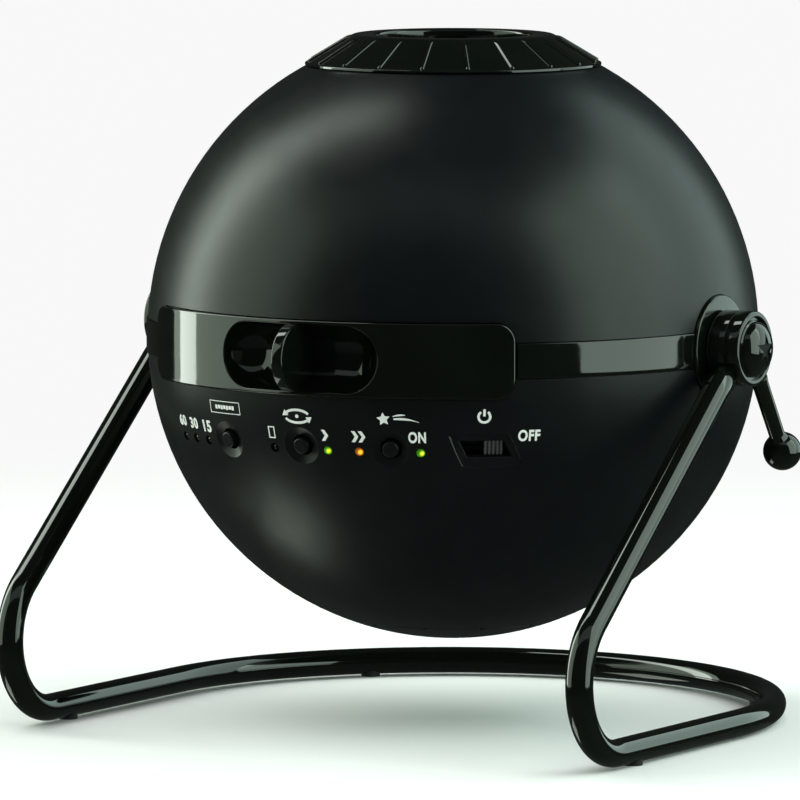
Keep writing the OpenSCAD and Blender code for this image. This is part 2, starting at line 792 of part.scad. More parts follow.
// Half-round tunnel along the front, with round ends a hair larger than the tunnel.
module scoop_tool(r) {
    rotate([0, 0, -90 - scoop_half_angle]) rotate_extrude(angle = 2 * scoop_half_angle, $fn = fine)
        translate([plate_r, 0]) circle(r, $fn = 48);
    for (side = [-1, 1]) on_ball(side * scoop_half_angle, 0, plate_r) sphere(r + 0.01, $fn = 48);
}

// What is cut off to round one corner of the tray front, for all four corners.
module plate_corners() {
    corner_angle = plate_half_angle - plate_corner_r / plate_r * 180 / PI;
    corner_z = plate_h / 2 - plate_corner_r;
    for (side = [0, 1], up = [0, 1]) mirror([side, 0, 0]) mirror([0, 0, up])
        on_ball(corner_angle, 0, plate_r / 2) difference() {
            translate([0, corner_z, 0]) cube([20, 20, plate_r]);
            translate([0, corner_z, -past])
                cylinder(r = plate_corner_r + 0.02, h = plate_r + 2 * past, $fn = 32);
        }
}

module tray_front() color(gloss_black) in_ball() {
    difference() {
        intersection() {
            difference() {
                front_sector(plate_half_angle, scoop_back_r - past, plate_r, plate_h);
                plate_corners();
            }
            union() {
                front_sector(plate_half_angle + 2, plate_r - plate_t, plate_r + 5, plate_h + 6);
                scoop_tool(scoop_r + scoop_wall);
            }
        }
        scoop_tool(scoop_r);
    }
    translate([-fin_t / 2, -plate_r, 0]) rotate([0, 90, 0]) cylinder(r = scoop_r + 0.1, h = fin_t, $fn = 64);
}

module tray_deck() color("dimgray") in_ball() difference() {
    union() {
        intersection() {
            translate([-deck_half_w, -plate_r, deck_z]) cube([2 * deck_half_w, plate_r + deck_rear, deck_t]);
            cylinder(r = plate_r - plate_t, h = 4 * plate_h, center = true, $fn = fine);
        }
        translate([0, 0, deck_top - past / 2]) intersection() {
            ring(well_r + well_wall, well_r, frame_t + past / 2, $fn = 96);
            translate([-ball_r, -ball_r, 0]) cube([2 * ball_r, ball_r + deck_rear, 10]);
        }
        translate([0, 0, deck_top - past / 2]) cylinder(r = rim_r, h = rim_h + past / 2, $fn = 96);
    }
    translate([0, 0, deck_z - past]) cylinder(r = light_r, h = 10, $fn = 96);
    front_sector(scoop_notch_angle, scoop_back_r, plate_r, plate_h);
}

module disc_gear_frame() color("gray") in_ball() translate([0, 0, disc_z]) difference() {
    linear_extrude(frame_t) gear_outline(disc_r, disc_teeth);
    translate([0, 0, -past]) cylinder(r = rim_r + run_gap, h = frame_t + 2 * past, $fn = 96);
    translate([0, 0, frame_t - film_seat]) cylinder(r = film_r + seat_gap / 2, h = past, $fn = 96);
}

module star_film() color(dark_film) in_ball() translate([0, 0, disc_z + frame_t - film_seat])
    cylinder(r = film_r, h = film_t, $fn = 96);

// ---------- Lamp ----------

module heat_sink() color("silver") in_ball() translate([0, 0, chassis_top]) {
    cylinder(r = sink_r, h = sink_t, $fn = 96);
    ring(sink_r, house_r + 0.3, sink_t + sink_fin_h, $fn = 96);
    for (i = [0 : fin_count - 1]) rotate([0, 0, 360 * i / fin_count])
        translate([sink_r - 0.5, -0.5, 0]) cube([sink_fin_r - sink_r + 0.5, 1, sink_t + sink_fin_h]);
}

module led_board() color("white") in_ball() translate([0, 0, board_z])
    cylinder(r = sink_r / 2, h = board_t);

module led_emitter() color("gold") in_ball() translate([0, 0, emitter_z]) {
    translate([-2.5, -2.5, 0]) cube([5, 5, 0.8]);
    translate([0, 0, 0.8]) intersection() {
        sphere(1.8, $fn = 32);
        translate([-3, -3, 0]) cube([6, 6, 3]);
    }
}

module lamp_house() color("dimgray") in_ball() {
    translate([0, 0, board_z]) ring(house_r, house_r - house_wall, house_top - board_z, $fn = 96);
    translate([0, 0, condenser_bottom - 1.2])
        ring(house_r - house_wall / 2, condenser_r - 1.5, 1.2, $fn = 96);
}

module condenser_lens() color(clear_glass) in_ball() {
    height = house_top - 0.5 - condenser_bottom;
    round_r = (pow(condenser_r, 2) + pow(height, 2)) / (2 * height) + 2;
    intersection() {
        translate([0, 0, condenser_bottom]) cylinder(r = condenser_r, h = height, $fn = 96);
        translate([0, 0, condenser_bottom + height - round_r]) sphere(round_r, $fn = 96);
    }
}

// ---------- Battery ----------

module battery_box() color("dimgray") in_ball() difference() {
    union() {
        translate([0, 0, box_bottom]) cylinder(r = box_r, h = chassis_top - box_bottom, $fn = 96);
        translate([0, 0, chassis_top - chassis_t - 2]) cylinder(r = box_r + 4, h = 2, $fn = 96);
    }
    for (i = [0 : 2]) rotate([0, 0, 120 * i + 90]) translate([cell_at, 0, box_bottom - past])
        cylinder(r = cell_r + 0.3, h = cell_bottom + cell_l - box_bottom + past);
}

module battery_cells() color("goldenrod") in_ball() for (i = [0 : 2]) {
    rotate([0, 0, 120 * i + 90]) translate([cell_at, 0, cell_bottom]) {
        cylinder(r = cell_r, h = cell_l - 1);
        cylinder(r = 2.6, h = cell_l);
    }
}

module battery_lid() color(satin_black) in_ball() difference() {
    intersection() {
        difference() {
            body_sphere(ball_r);
            body_sphere(inner_r);
        }
        translate([0, 0, -ball_r - past]) cylinder(r = lid_r, h = ball_r, $fn = 96);
    }
    for (i = [0 : lid_notches - 1]) rotate([0, 0, 360 * i / lid_notches + 15])
        translate([lid_r - 0.2, 0, -ball_r - past])
            cylinder(r = notch_r, h = past + ball_r - ball_r * cos(22), $fn = small);
    translate([0, lid_screw_y, -ball_r - past]) cylinder(r = screw_r + seat_gap, h = 20, $fn = small);
    translate([0, lid_screw_y, -ball_r - past])
        cylinder(r = screw_head_r + seat_gap, h = ball_r + past + lid_screw_seat);
}

module lid_springs() color(steel) in_ball() intersection() {
    for (i = [0 : 2]) rotate([0, 0, 120 * i + 90]) translate([cell_at, 0, -ball_r])
        ring(4.4, 3.2, cell_bottom + ball_r - 0.2);
    body_sphere(inner_r);
}

module lid_screw() color(steel) in_ball() translate([0, lid_screw_y, lid_screw_seat])
    mirror([0, 0, 1]) screw(4);

// ---------- Controls ----------

module control_board() color(board_green) in_ball() on_ball(0, control_lat, board_at)
    translate([-board_size.x / 2, -board_size.y / 2, -board_size.z]) cube(board_size);

module tact_switches() color("darkslategray") in_ball() for (i = [-1, 0, 1]) {
    on_ball(0, control_lat, board_at) translate([board_at * tan(i * button_pitch), 0, 0]) {
        translate([-tact_size / 2, -tact_size / 2, 0]) cube([tact_size, tact_size, tact_h]);
        cylinder(r = 1.4, h = tact_h + 0.8, $fn = small);
    }
}

module push_button(i) {
    floor_r = ball_r - dish_depth;
    stem_end = (board_at + tact_h + 0.8) / cos(i * button_pitch) + switch_tip_gap + button_travel;
    on_ball(i * button_pitch, control_lat) {
        translate([0, 0, stem_end]) cylinder(r = button_r, h = floor_r - 0.4 + button_proud - stem_end);
        translate([0, 0, floor_r - 0.4 + button_proud])
            cylinder(r1 = button_r, r2 = button_r - 0.35, h = 0.35);
        translate([0, 0, inner_r - 1.15]) cylinder(r = button_r + 1.2, h = 1);
    }
}

module timer_button() color(satin_black) in_ball() push_button(-1);

module rotation_button() color(satin_black) in_ball() push_button(0);

module meteor_button() color(satin_black) in_ball() push_button(1);

module power_switch_body() color("darkslategray") in_ball()
    on_ball(switch_az, control_lat, switch_back) difference() {
        translate([-switch_size.x / 2, -switch_size.y / 2, 0]) cube(switch_size);
        translate([-slot_l / 2, -switch_size.y / 4, switch_size.z - 2])
            cube([slot_l, switch_size.y / 2, 2 + past]);
    }

// At rest the knob stands at the end of the slot away from the front.
module power_knob() color(satin_black) in_ball() on_ball(switch_az, control_lat) {
    stand = (slot_l - knob_l - slot_lean) / 2 - 0.1;
    top_r = ball_r - funnel_depth - 0.4;
    translate([stand - knob_l / 2, 0, 0]) {
        translate([0, -slot_h / 2 + seat_gap, inner_r - 1.6])
            cube([knob_l, slot_h - 2 * seat_gap, top_r - inner_r + 1.6]);
        for (i = [0 : 3]) translate([i * (knob_l - 0.7) / 3, -slot_h / 2 + seat_gap, top_r])
            cube([0.7, slot_h - 2 * seat_gap, 0.6]);
        translate([knob_l / 2 - 1, -1, inner_r - 4.4]) cube([2, 2, 3]);
    }
    translate([stand - knob_l / 2 - 1, -slot_h / 2 - 1, inner_r - 2.2]) cube([knob_l + 2, slot_h + 2, 1]);
}

module lamp(az) {
    on_ball(az, lamp_lat, ball_r + lamp_proud - lamp_l) {
        cylinder(r = lamp_r, h = lamp_l - lamp_r * 0.6, $fn = small);
        translate([0, 0, lamp_l - lamp_r * 0.6]) intersection() {
            translate([0, 0, -lamp_r * 0.4]) sphere(lamp_r * 1.08, $fn = 32);
            cylinder(r = lamp_r, h = lamp_r, $fn = small);
        }
    }
}

module green_lamps() color("lime") in_ball() for (az = lamp_azimuths_green) lamp(az);

module amber_lamp() color("orange") in_ball() for (az = lamp_azimuths_amber) lamp(az);

module unlit_lamps() color("darkslategray") in_ball() for (az = lamp_azimuths_unlit) lamp(az);

module dc_jack() color("darkslategray") in_ball() on_ball(180, -24, inner_r - 7) {
    difference() {
        cylinder(r = 4, h = 8, $fn = 32);
        translate([0, 0, 1]) cylinder(r = 2.8, h = 8, $fn = 32);
    }
    cylinder(r = 0.9, h = 6, $fn = small);
}

// ---------- Lens ----------

module lens_sleeve() color("dimgray") in_ball() difference() {
    union() {
        translate([0, 0, sleeve_bottom])
            cylinder(r = sleeve_out_r, h = sleeve_top - sleeve_bottom, $fn = 96);
        translate([0, 0, sleeve_flange_top - sleeve_flange_t])
            cylinder(r = sleeve_flange_r, h = sleeve_flange_t, $fn = 96);
    }
    translate([0, 0, sleeve_bottom - past])
        cylinder(r = sleeve_in_r, h = sleeve_top - sleeve_bottom + 2 * past, $fn = 96);
    for (turn = [30, 150, 270]) rotate([0, 0, turn])
        translate([sleeve_post_at, 0, sleeve_flange_top - sleeve_flange_t - past])
            cylinder(r = screw_r + seat_gap, h = sleeve_flange_t + 2 * past, $fn = small);
}

module sleeve_screws() color(steel) in_ball() for (turn = [30, 150, 270]) rotate([0, 0, turn])
    translate([sleeve_post_at, 0, sleeve_flange_top - sleeve_flange_t])
        mirror([0, 0, 1]) screw(sleeve_flange_t + 2.5);

// Points of the hood's outer line, from its foot to its bore.
hood_line = [[hood_foot_r, foot_z - 3], [hood_foot_r, foot_z + foot_lip],
    [hood_foot_r - 0.9, foot_z + foot_lip + 0.4], [hood_rim_r, hood_top - 0.6],
    [hood_rim_r - 0.5, hood_top - 0.1], [hood_rim_r - rim_w, hood_top],
    [hood_bore_r + 0.9, hood_top], [hood_bore_r, hood_top - 0.7]];

module focus_ring() color(gloss_black) in_ball() {
    cone_from = hood_line[2];
    cone_to = hood_line[3];
    slope = atan2(cone_to.y - cone_from.y, cone_from.x - cone_to.x);
    rib_l = norm(cone_to - cone_from) - 0.8;
    difference() {
        union() {
            difference() {
                union() {
                    rotate_extrude($fn = fine) polygon(concat(hood_line, [[hood_bore_r, foot_z - 3]]));
                    for (i = [0 : rib_count - 1]) rotate([0, 0, 360 * i / rib_count - 90])
                        translate([cone_from.x, 0, cone_from.y]) rotate([0, -90 + slope, 0]) {
                            cylinder(r = rib_w / 2, h = rib_l, $fn = 20);
                            sphere(rib_w / 2, $fn = 20);
                        }
                }
                body_sphere(ball_r + hood_gap);
            }
            translate([0, 0, skirt_bottom])
                ring(skirt_r, hood_bore_r, hood_top - 0.9 - skirt_bottom, $fn = 96);
        }
        // keyways for the lens barrel's lugs
        for (turn = [0, 120, 240]) rotate([0, 0, turn]) translate([0, -lug_w / 2 - 0.1, skirt_bottom - past])
            intersection() {
                cube([lug_r + 0.2, lug_w + 0.2, keyway_h]);
                translate([0, lug_w / 2 + 0.1, -past]) cylinder(r = lug_r + 0.1, h = 20, $fn = 96);
            }
    }
}

module focus_retainer() color("gray") in_ball() translate([0, 0, skirt_bottom - retainer_t])
    ring(retainer_r, hood_bore_r + 0.3, retainer_t, $fn = 96);

module lens_barrel() color("darkslategray") in_ball() {
    difference() {
        union() {
            translate([0, 0, barrel_bottom])
                cylinder(r = barrel_r, h = barrel_top - barrel_bottom, $fn = 96);
            for (turn = [0, 120, 240]) rotate([0, 0, turn]) intersection() {
                translate([0, -lug_w / 2, barrel_top - lug_t]) cube([lug_r, lug_w, lug_t]);
                translate([0, 0, barrel_top - lug_t - past])
                    cylinder(r = lug_r, h = lug_t + 2 * past, $fn = 96);
            }
        }
        translate([0, 0, barrel_bottom - past]) cylinder(r = lens_clear_r, h = 60, $fn = 96);
        translate([0, 0, barrel_bottom - past])
            cylinder(r = lens_r, h = rear_seat - barrel_bottom + past, $fn = 96);
        translate([0, 0, front_seat]) cylinder(r = lens_r, h = 60, $fn = 96);
    }
}

// A lens that bulges on both sides inside a flat edge, with the edge's lower face at height 0.
module lens() {
    dome_r = lens_clear_r - 0.1;
    round_r = (pow(dome_r, 2) + pow(lens_crown, 2)) / (2 * lens_crown);
    cylinder(r = lens_r - 0.05, h = lens_edge, $fn = 96);
    intersection() {
        translate([0, 0, -lens_crown]) cylinder(r = dome_r, h = lens_edge + 2 * lens_crown, $fn = 96);
        translate([0, 0, lens_edge + lens_crown - round_r]) sphere(round_r, $fn = fine);
        translate([0, 0, round_r - lens_crown]) sphere(round_r, $fn = fine);
    }
}

module front_lens() color(clear_glass) in_ball() translate([0, 0, front_seat]) lens();

module rear_lens() color(clear_glass) in_ball() translate([0, 0, rear_seat - lens_edge]) lens();

module lens_retainers() color("dimgray") in_ball() {
    translate([0, 0, front_seat + lens_edge]) ring(lens_r, lens_clear_r, lens_ring_t, $fn = 96);
    translate([0, 0, rear_seat - lens_edge - lens_ring_t]) ring(lens_r, lens_clear_r, lens_ring_t, $fn = 96);
}

stand_tube();
anti_slip_pads();
left_hub_eye();
right_hub_eye();
left_hub_cap();
left_pivot_pin();
friction_washers();
clamp_head();
clamp_stud();
lever_rod();
lever_ball();
right_hub_cap();
upper_shell();
lower_shell();
belt_front_left();
belt_front_right();
belt_rear();
left_pivot_flange();
right_pivot_flange();
flange_nuts();
shell_screws();
chassis();
chassis_screws();
tray_rails();
battery_box();
battery_cells();
heat_sink();
led_board();
led_emitter();
lamp_house();
condenser_lens();
gear_motor();
motor_bracket();
control_board();
tact_switches();
power_switch_body();
green_lamps();
amber_lamp();
unlit_lamps();
dc_jack();
lens_sleeve();
sleeve_screws();
focus_ring();
focus_retainer();
lens_barrel();
front_lens();
rear_lens();
lens_retainers();
tray_front();
tray_deck();
disc_gear_frame();
star_film();
drive_pinion();
timer_button();
rotation_button();
meteor_button();
power_knob();
battery_lid();
lid_springs();
lid_screw();
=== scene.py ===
"""Looks of a home planetarium projector: a black ball that hangs in a bent tube stand."""

import json
import math

import bmesh
import bpy
from mathutils import Matrix, Vector


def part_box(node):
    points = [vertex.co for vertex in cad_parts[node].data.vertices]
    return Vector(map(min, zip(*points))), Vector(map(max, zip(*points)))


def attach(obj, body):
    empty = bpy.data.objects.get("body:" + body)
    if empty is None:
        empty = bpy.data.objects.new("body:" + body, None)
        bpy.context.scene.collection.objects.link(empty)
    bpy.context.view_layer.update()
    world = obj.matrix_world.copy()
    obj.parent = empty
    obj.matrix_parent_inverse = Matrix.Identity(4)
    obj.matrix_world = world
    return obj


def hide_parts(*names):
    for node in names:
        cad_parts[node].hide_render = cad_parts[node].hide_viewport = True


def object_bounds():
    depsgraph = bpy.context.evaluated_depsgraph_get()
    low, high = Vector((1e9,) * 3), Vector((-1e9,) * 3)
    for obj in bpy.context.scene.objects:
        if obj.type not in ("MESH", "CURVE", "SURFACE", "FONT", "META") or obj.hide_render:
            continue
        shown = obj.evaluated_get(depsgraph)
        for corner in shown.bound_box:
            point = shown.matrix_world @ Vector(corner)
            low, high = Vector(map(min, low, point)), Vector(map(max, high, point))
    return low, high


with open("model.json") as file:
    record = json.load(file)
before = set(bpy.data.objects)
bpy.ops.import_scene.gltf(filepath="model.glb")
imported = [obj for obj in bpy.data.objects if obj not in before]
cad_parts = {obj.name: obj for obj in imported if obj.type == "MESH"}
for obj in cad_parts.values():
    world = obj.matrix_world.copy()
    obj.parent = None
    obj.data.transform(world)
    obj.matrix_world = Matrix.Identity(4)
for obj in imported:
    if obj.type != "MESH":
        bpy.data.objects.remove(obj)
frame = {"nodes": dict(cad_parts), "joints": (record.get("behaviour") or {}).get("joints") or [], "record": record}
cad_low, cad_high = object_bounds()

MM = 0.001

# ---- places taken from the frame ----
PIVOT = Vector((0, 0, next(j["pos_m"][2] for j in frame["joints"] if j["name"] == "ball_tilt")))
BALL_R = 75 * MM


def new_object(name, data):
    """An object in the scene that carries this data."""
    obj = bpy.data.objects.new(name, data)
    bpy.context.collection.objects.link(obj)
    return obj


# ---- camera ----
CAMERA_AZIMUTH = 30.2
CAMERA_ELEVATION = 5.3
CAMERA_DISTANCE = 2.15
LENS_MM = 394
SENSOR_MM = 36
FRAME_PIXELS = 800
BALL_PIXEL = (453, 332.5)  # where the ball's centre stands in the frame, from its top left corner


def direction(azimuth, elevation):
    """The unit vector from the object towards a place at this azimuth and elevation, in degrees."""
    a, e = math.radians(azimuth), math.radians(elevation)
    return Vector((math.sin(a) * math.cos(e), -math.cos(a) * math.cos(e), math.sin(e)))


def make_camera():
    data = bpy.data.cameras.new("camera")
    data.lens = LENS_MM
    data.sensor_width = SENSOR_MM
    data.clip_end = 50
    cam = new_object("camera", data)
    back = direction(CAMERA_AZIMUTH, CAMERA_ELEVATION)
    right = direction(CAMERA_AZIMUTH + 90, 0)
    up = back.cross(right)
    pixel = CAMERA_DISTANCE * SENSOR_MM / LENS_MM / FRAME_PIXELS
    aim = PIVOT - right * (BALL_PIXEL[0] - FRAME_PIXELS / 2) * pixel
    aim += up * (BALL_PIXEL[1] - FRAME_PIXELS / 2) * pixel
    cam.location = PIVOT + back * CAMERA_DISTANCE
    cam.rotation_mode = "QUATERNION"
    cam.rotation_quaternion = (aim - cam.location).to_track_quat("-Z", "Y")
    bpy.context.scene.camera = cam


# ---- light and floor ----
PANEL_DISTANCE = 0.95
PANELS = (  # name, azimuth and elevation, width and height as angles, radiance, colour
    ("left_strip", -83.7, 32, 14, 84, 5.0, (0.9, 1.0, 0.91)),
    ("left_box", -64.5, 15, 62, 54, 1.5, (0.82, 1.0, 0.8)),
    ("right_box", 98.5, 20, 47, 62, 2.5, (0.8, 1.0, 0.88)),
    ("right_rear_box", 145, 22, 47, 60, 1.6, (0.77, 1.0, 0.92)),
    ("front_top", 20, 52, 80, 18, 0.4, (0.8, 1.0, 0.95)),
    ("low_glow", -76, -48, 26, 18, 2.0, (0.88, 1.0, 0.85)),
    ("floor_sheen", 0, -90, 140, 140, 0.035, (0.8, 1.0, 0.9)),
)
ROOM_STRENGTH = 0.025
BACKDROP_WHITE = (0.94, 0.94, 0.94, 1)
FLOOR_R = 7
FLOOR_KEEPS_TO = 0.16
FLOOR_FADES_BY = 0.75


def light_panel(name, azimuth, elevation, wide, high, radiance, colour):
    """A soft rectangular light that faces the ball. Its width and height are the angles that it spans."""
    width, height = (2 * PANEL_DISTANCE * math.tan(math.radians(angle / 2)) for angle in (wide, high))
    data = bpy.data.lights.new(name, "AREA")
    data.shape = "RECTANGLE"
    data.size = width
    data.size_y = height
    data.energy = radiance * math.pi * width * height
    data.color = colour
    panel = new_object(name, data)
    panel.location = PIVOT + direction(azimuth, elevation) * PANEL_DISTANCE
    panel.rotation_mode = "QUATERNION"
    panel.rotation_quaternion = (-direction(azimuth, elevation)).to_track_quat("-Z", "Y")
    panel.visible_camera = False
    return panel


def make_lights():
    for panel in PANELS:
        light_panel(*panel)
    overhead = light_panel("overhead", 0, 90, 100, 100, 1.0, (1, 1, 1))
    overhead.visible_glossy = False


def join(tree, *pairs):
    """Links each output to the input that it is paired with."""
    for source, target in pairs:
        tree.links.new(source, target)


def make_world():
    """A dim room that the camera sees as a pale backdrop."""
    world = bpy.data.worlds.new("studio")
    bpy.context.scene.world = world
    world.use_nodes = True
    tree = world.node_tree
    tree.nodes.clear()
    new = tree.nodes.new
    out, mix, path = new("ShaderNodeOutputWorld"), new("ShaderNodeMixShader"), new("ShaderNodeLightPath")
    room, seen = new("ShaderNodeBackground"), new("ShaderNodeBackground")
    room.inputs["Color"].default_value = (0.8, 0.9, 0.85, 1)
    room.inputs["Strength"].default_value = ROOM_STRENGTH
    seen.inputs["Color"].default_value = BACKDROP_WHITE
    join(tree, (path.outputs["Is Camera Ray"], mix.inputs[0]), (room.outputs[0], mix.inputs[1]),
         (seen.outputs[0], mix.inputs[2]), (mix.outputs[0], out.inputs["Surface"]))


def make_floor():
    mesh = bpy.data.meshes.new("floor")
    bm = bmesh.new()
    bmesh.ops.create_circle(bm, cap_ends=True, radius=FLOOR_R, segments=96)
    bm.to_mesh(mesh)
    bm.free()
    floor = new_object("floor", mesh)
    floor.location.z = cad_low.z
    floor.visible_glossy = False
    floor.visible_shadow = False
    mesh.materials.append(floor_paper())


def floor_paper():
    """Pale paper that keeps the shadow near the object and fades to the backdrop's white further out."""
    mat = new_material("floor_paper")
    shade(mat, base=(0.93, 0.93, 0.93), roughness=0.9, specular=0.1)
    tree = mat.node_tree
    new = tree.nodes.new
    reach, fade = new("ShaderNodeVectorMath"), new("ShaderNodeMapRange")
    reach.operation = "LENGTH"
    fade.interpolation_type = "SMOOTHERSTEP"
    fade.inputs["From Min"].default_value = FLOOR_KEEPS_TO
    fade.inputs["From Max"].default_value = FLOOR_FADES_BY
    path, both = new("ShaderNodeLightPath"), new("ShaderNodeMath")
    both.operation = "MULTIPLY"
    white, mix = new("ShaderNodeEmission"), new("ShaderNodeMixShader")
    white.inputs["Color"].default_value = BACKDROP_WHITE
    out = next(n for n in tree.nodes if n.type == "OUTPUT_MATERIAL")
    join(tree, (object_place(mat), reach.inputs[0]), (reach.outputs["Value"], fade.inputs["Value"]),
         (fade.outputs["Result"], both.inputs[0]), (path.outputs["Is Camera Ray"], both.inputs[1]),
         (both.outputs[0], mix.inputs[0]), (surface(mat).outputs[0], mix.inputs[1]),
         (white.outputs[0], mix.inputs[2]), (mix.outputs[0], out.inputs["Surface"]))
    return mat


# ---- materials ----
SOCKETS = {"base": "Base Color", "roughness": "Roughness", "metallic": "Metallic", "ior": "IOR",
           "specular": "Specular IOR Level", "coat": "Coat Weight", "coat_roughness": "Coat Roughness",
           "transmission": "Transmission Weight", "glow": "Emission Strength"}


def new_material(name):
    """A new material with its own shader."""
    mat = bpy.data.materials.new(name)
    mat.use_nodes = True
    return mat


def surface(mat):
    """The material's own shader."""
    return next(n for n in mat.node_tree.nodes if n.type == "BSDF_PRINCIPLED")


def shade(mat, **values):
    """Sets plain values on the shader's sockets, by their short names in SOCKETS."""
    for name, value in values.items():
        surface(mat).inputs[SOCKETS[name]].default_value = (*value, 1) if name == "base" else value


def object_place(mat):
    """The coordinates that a piece carries with it."""
    return mat.node_tree.nodes.new("ShaderNodeTexCoord").outputs["Object"]


def noise(mat, scale, detail=3, roughness=0.5):
    """A noise texture on object coordinates, whose scale is given as the size of its grains in metres."""
    tree = mat.node_tree
    tex = tree.nodes.new("ShaderNodeTexNoise")
    tex.inputs["Scale"].default_value = 1 / scale
    tex.inputs["Detail"].default_value = detail
    tex.inputs["Roughness"].default_value = roughness
    tree.links.new(object_place(mat), tex.inputs["Vector"])
    return tex.outputs["Fac"]


def spread(mat, value, low, high):
    """Maps the middle of a noise onto a range of values."""
    node = mat.node_tree.nodes.new("ShaderNodeMapRange")
    node.inputs["From Min"].default_value = 0.3
    node.inputs["From Max"].default_value = 0.7
    node.inputs["To Min"].default_value = low
    node.inputs["To Max"].default_value = high
    mat.node_tree.links.new(value, node.inputs["Value"])
    return node.outputs["Result"]


def colours(mat, value, stops):
    """Maps a value onto colours, by stops of (value, colour)."""
    node = mat.node_tree.nodes.new("ShaderNodeValToRGB")
    ramp = node.color_ramp
    ramp.elements[0].position, ramp.elements[0].color = stops[0][0], (*stops[0][1], 1)
    ramp.elements[1].position, ramp.elements[1].color = stops[-1][0], (*stops[-1][1], 1)
    for place, colour in stops[1:-1]:
        ramp.elements.new(place).color = (*colour, 1)
    mat.node_tree.links.new(value, node.inputs["Fac"])
    return node.outputs["Color"]


def mottled(mat, value, dark, light):
    """Gives a material's colour a slow change between two tones."""
    link(mat, colours(mat, value, [(0.3, dark), (0.7, light)]), "Base Color")


def bump(mat, height, distance, strength):
    """Turns a height into a fine relief of the surface."""
    node = mat.node_tree.nodes.new("ShaderNodeBump")
    node.inputs["Distance"].default_value = distance
    node.inputs["Strength"].default_value = strength
    link(mat, node.outputs["Normal"], "Normal")
    mat.node_tree.links.new(height, node.inputs["Height"])


def link(mat, output, socket):
    """Links an output to a socket of the material's shader."""
    mat.node_tree.links.new(output, surface(mat).inputs[socket])


def satin_black():
    """The ball's shell: black plastic with a fine spark-eroded grain and a soft sheen."""
    mat = new_material("satin_black_shell")
    shade(mat, specular=0.36)
    mottled(mat, noise(mat, 9 * MM, 4), (0.0026, 0.0036, 0.0042), (0.0038, 0.0050, 0.0056))
    link(mat, spread(mat, noise(mat, 6 * MM, 4), 0.31, 0.35), "Roughness")
    bump(mat, noise(mat, 0.35 * MM, 2), 0.03 * MM, 0.5)
    return mat


def gloss_black():
    """Polished black plastic with faint wiping marks."""
    mat = new_material("gloss_black")
    shade(mat, specular=0.5, coat=0.35, coat_roughness=0.03)
    mottled(mat, noise(mat, 14 * MM, 3), (0.0022, 0.0032, 0.0022), (0.0034, 0.0046, 0.0034))
    link(mat, spread(mat, noise(mat, 5 * MM, 5, 0.6), 0.04, 0.09), "Roughness")
    bump(mat, noise(mat, 11 * MM, 1), 0.02 * MM, 0.25)
    return mat


def plastic(name, base, roughness, specular=0.5, grain=0.4):
    """Moulded plastic whose grain is given in mm."""
    mat = new_material(name)
    shade(mat, specular=specular)
    mottled(mat, noise(mat, 4 * MM, 3), tuple(c * 0.86 for c in base), base)
    link(mat, spread(mat, noise(mat, 2.5 * MM, 3), roughness * 0.9, roughness * 1.12), "Roughness")
    bump(mat, noise(mat, grain * MM, 2), 0.03 * MM, 0.4)
    return mat


def metal(name, base, roughness, grain=(0.3, 0.3, 6)):
    """Brushed metal: noise stretched along one direction."""
    mat = new_material(name)
    shade(mat, metallic=1)
    tree = mat.node_tree
    mapping = tree.nodes.new("ShaderNodeMapping")
    mapping.inputs["Scale"].default_value = [1 / (g * MM) for g in grain]
    tex = tree.nodes.new("ShaderNodeTexNoise")
    tex.inputs["Scale"].default_value = 1
    tex.inputs["Detail"].default_value = 4
    join(tree, (object_place(mat), mapping.inputs["Vector"]),
         (mapping.outputs["Vector"], tex.inputs["Vector"]))
    mottled(mat, tex.outputs["Fac"], tuple(c * 0.8 for c in base), base)
    link(mat, spread(mat, tex.outputs["Fac"], roughness * 0.8, roughness * 1.25), "Roughness")
    bump(mat, tex.outputs["Fac"], 0.01 * MM, 0.5)
    return mat


def glass():
    """Clear lens glass with a faint coating."""
    mat = new_material("lens_glass")
    shade(mat, base=(0.93, 0.97, 1.0), ior=1.52, coat=0.4, transmission=0.95)
    link(mat, spread(mat, noise(mat, 8 * MM, 2), 0.0, 0.015), "Roughness")
    return mat


def star_sheet():
    """A dark film with an even scatter of clear dots."""
    mat = new_material("star_film")
    shade(mat, specular=0.5)
    tree = mat.node_tree
    cells = tree.nodes.new("ShaderNodeTexVoronoi")
    cells.inputs["Scale"].default_value = 1 / (1.3 * MM)
    tree.links.new(object_place(mat), cells.inputs["Vector"])
    dots = colours(mat, cells.outputs["Distance"], [(0.12, (0.7, 0.75, 0.85)), (0.18, (0.01, 0.012, 0.03))])
    link(mat, dots, "Base Color")
    link(mat, spread(mat, noise(mat, 1 * MM, 2), 0.12, 0.2), "Roughness")
    return mat


def lamp_lens(name, base, glow=None):
    """A small light pipe. A lit one glows from a bright spot, given by the piece's glow coordinates."""
    mat = new_material(name)
    shade(mat, specular=0.15 if glow else 0.5)
    mottled(mat, noise(mat, 0.8 * MM, 2), tuple(c * 0.8 for c in base), base)
    link(mat, spread(mat, noise(mat, 1 * MM, 2), 0.12, 0.2), "Roughness")
    if glow:
        tree = mat.node_tree
        coords, split = tree.nodes.new("ShaderNodeUVMap"), tree.nodes.new("ShaderNodeSeparateXYZ")
        coords.uv_map = "glow"
        tree.links.new(coords.outputs["UV"], split.inputs[0])
        link(mat, colours(mat, split.outputs["X"], glow), "Emission Color")
        shade(mat, glow=1.0)
    return mat


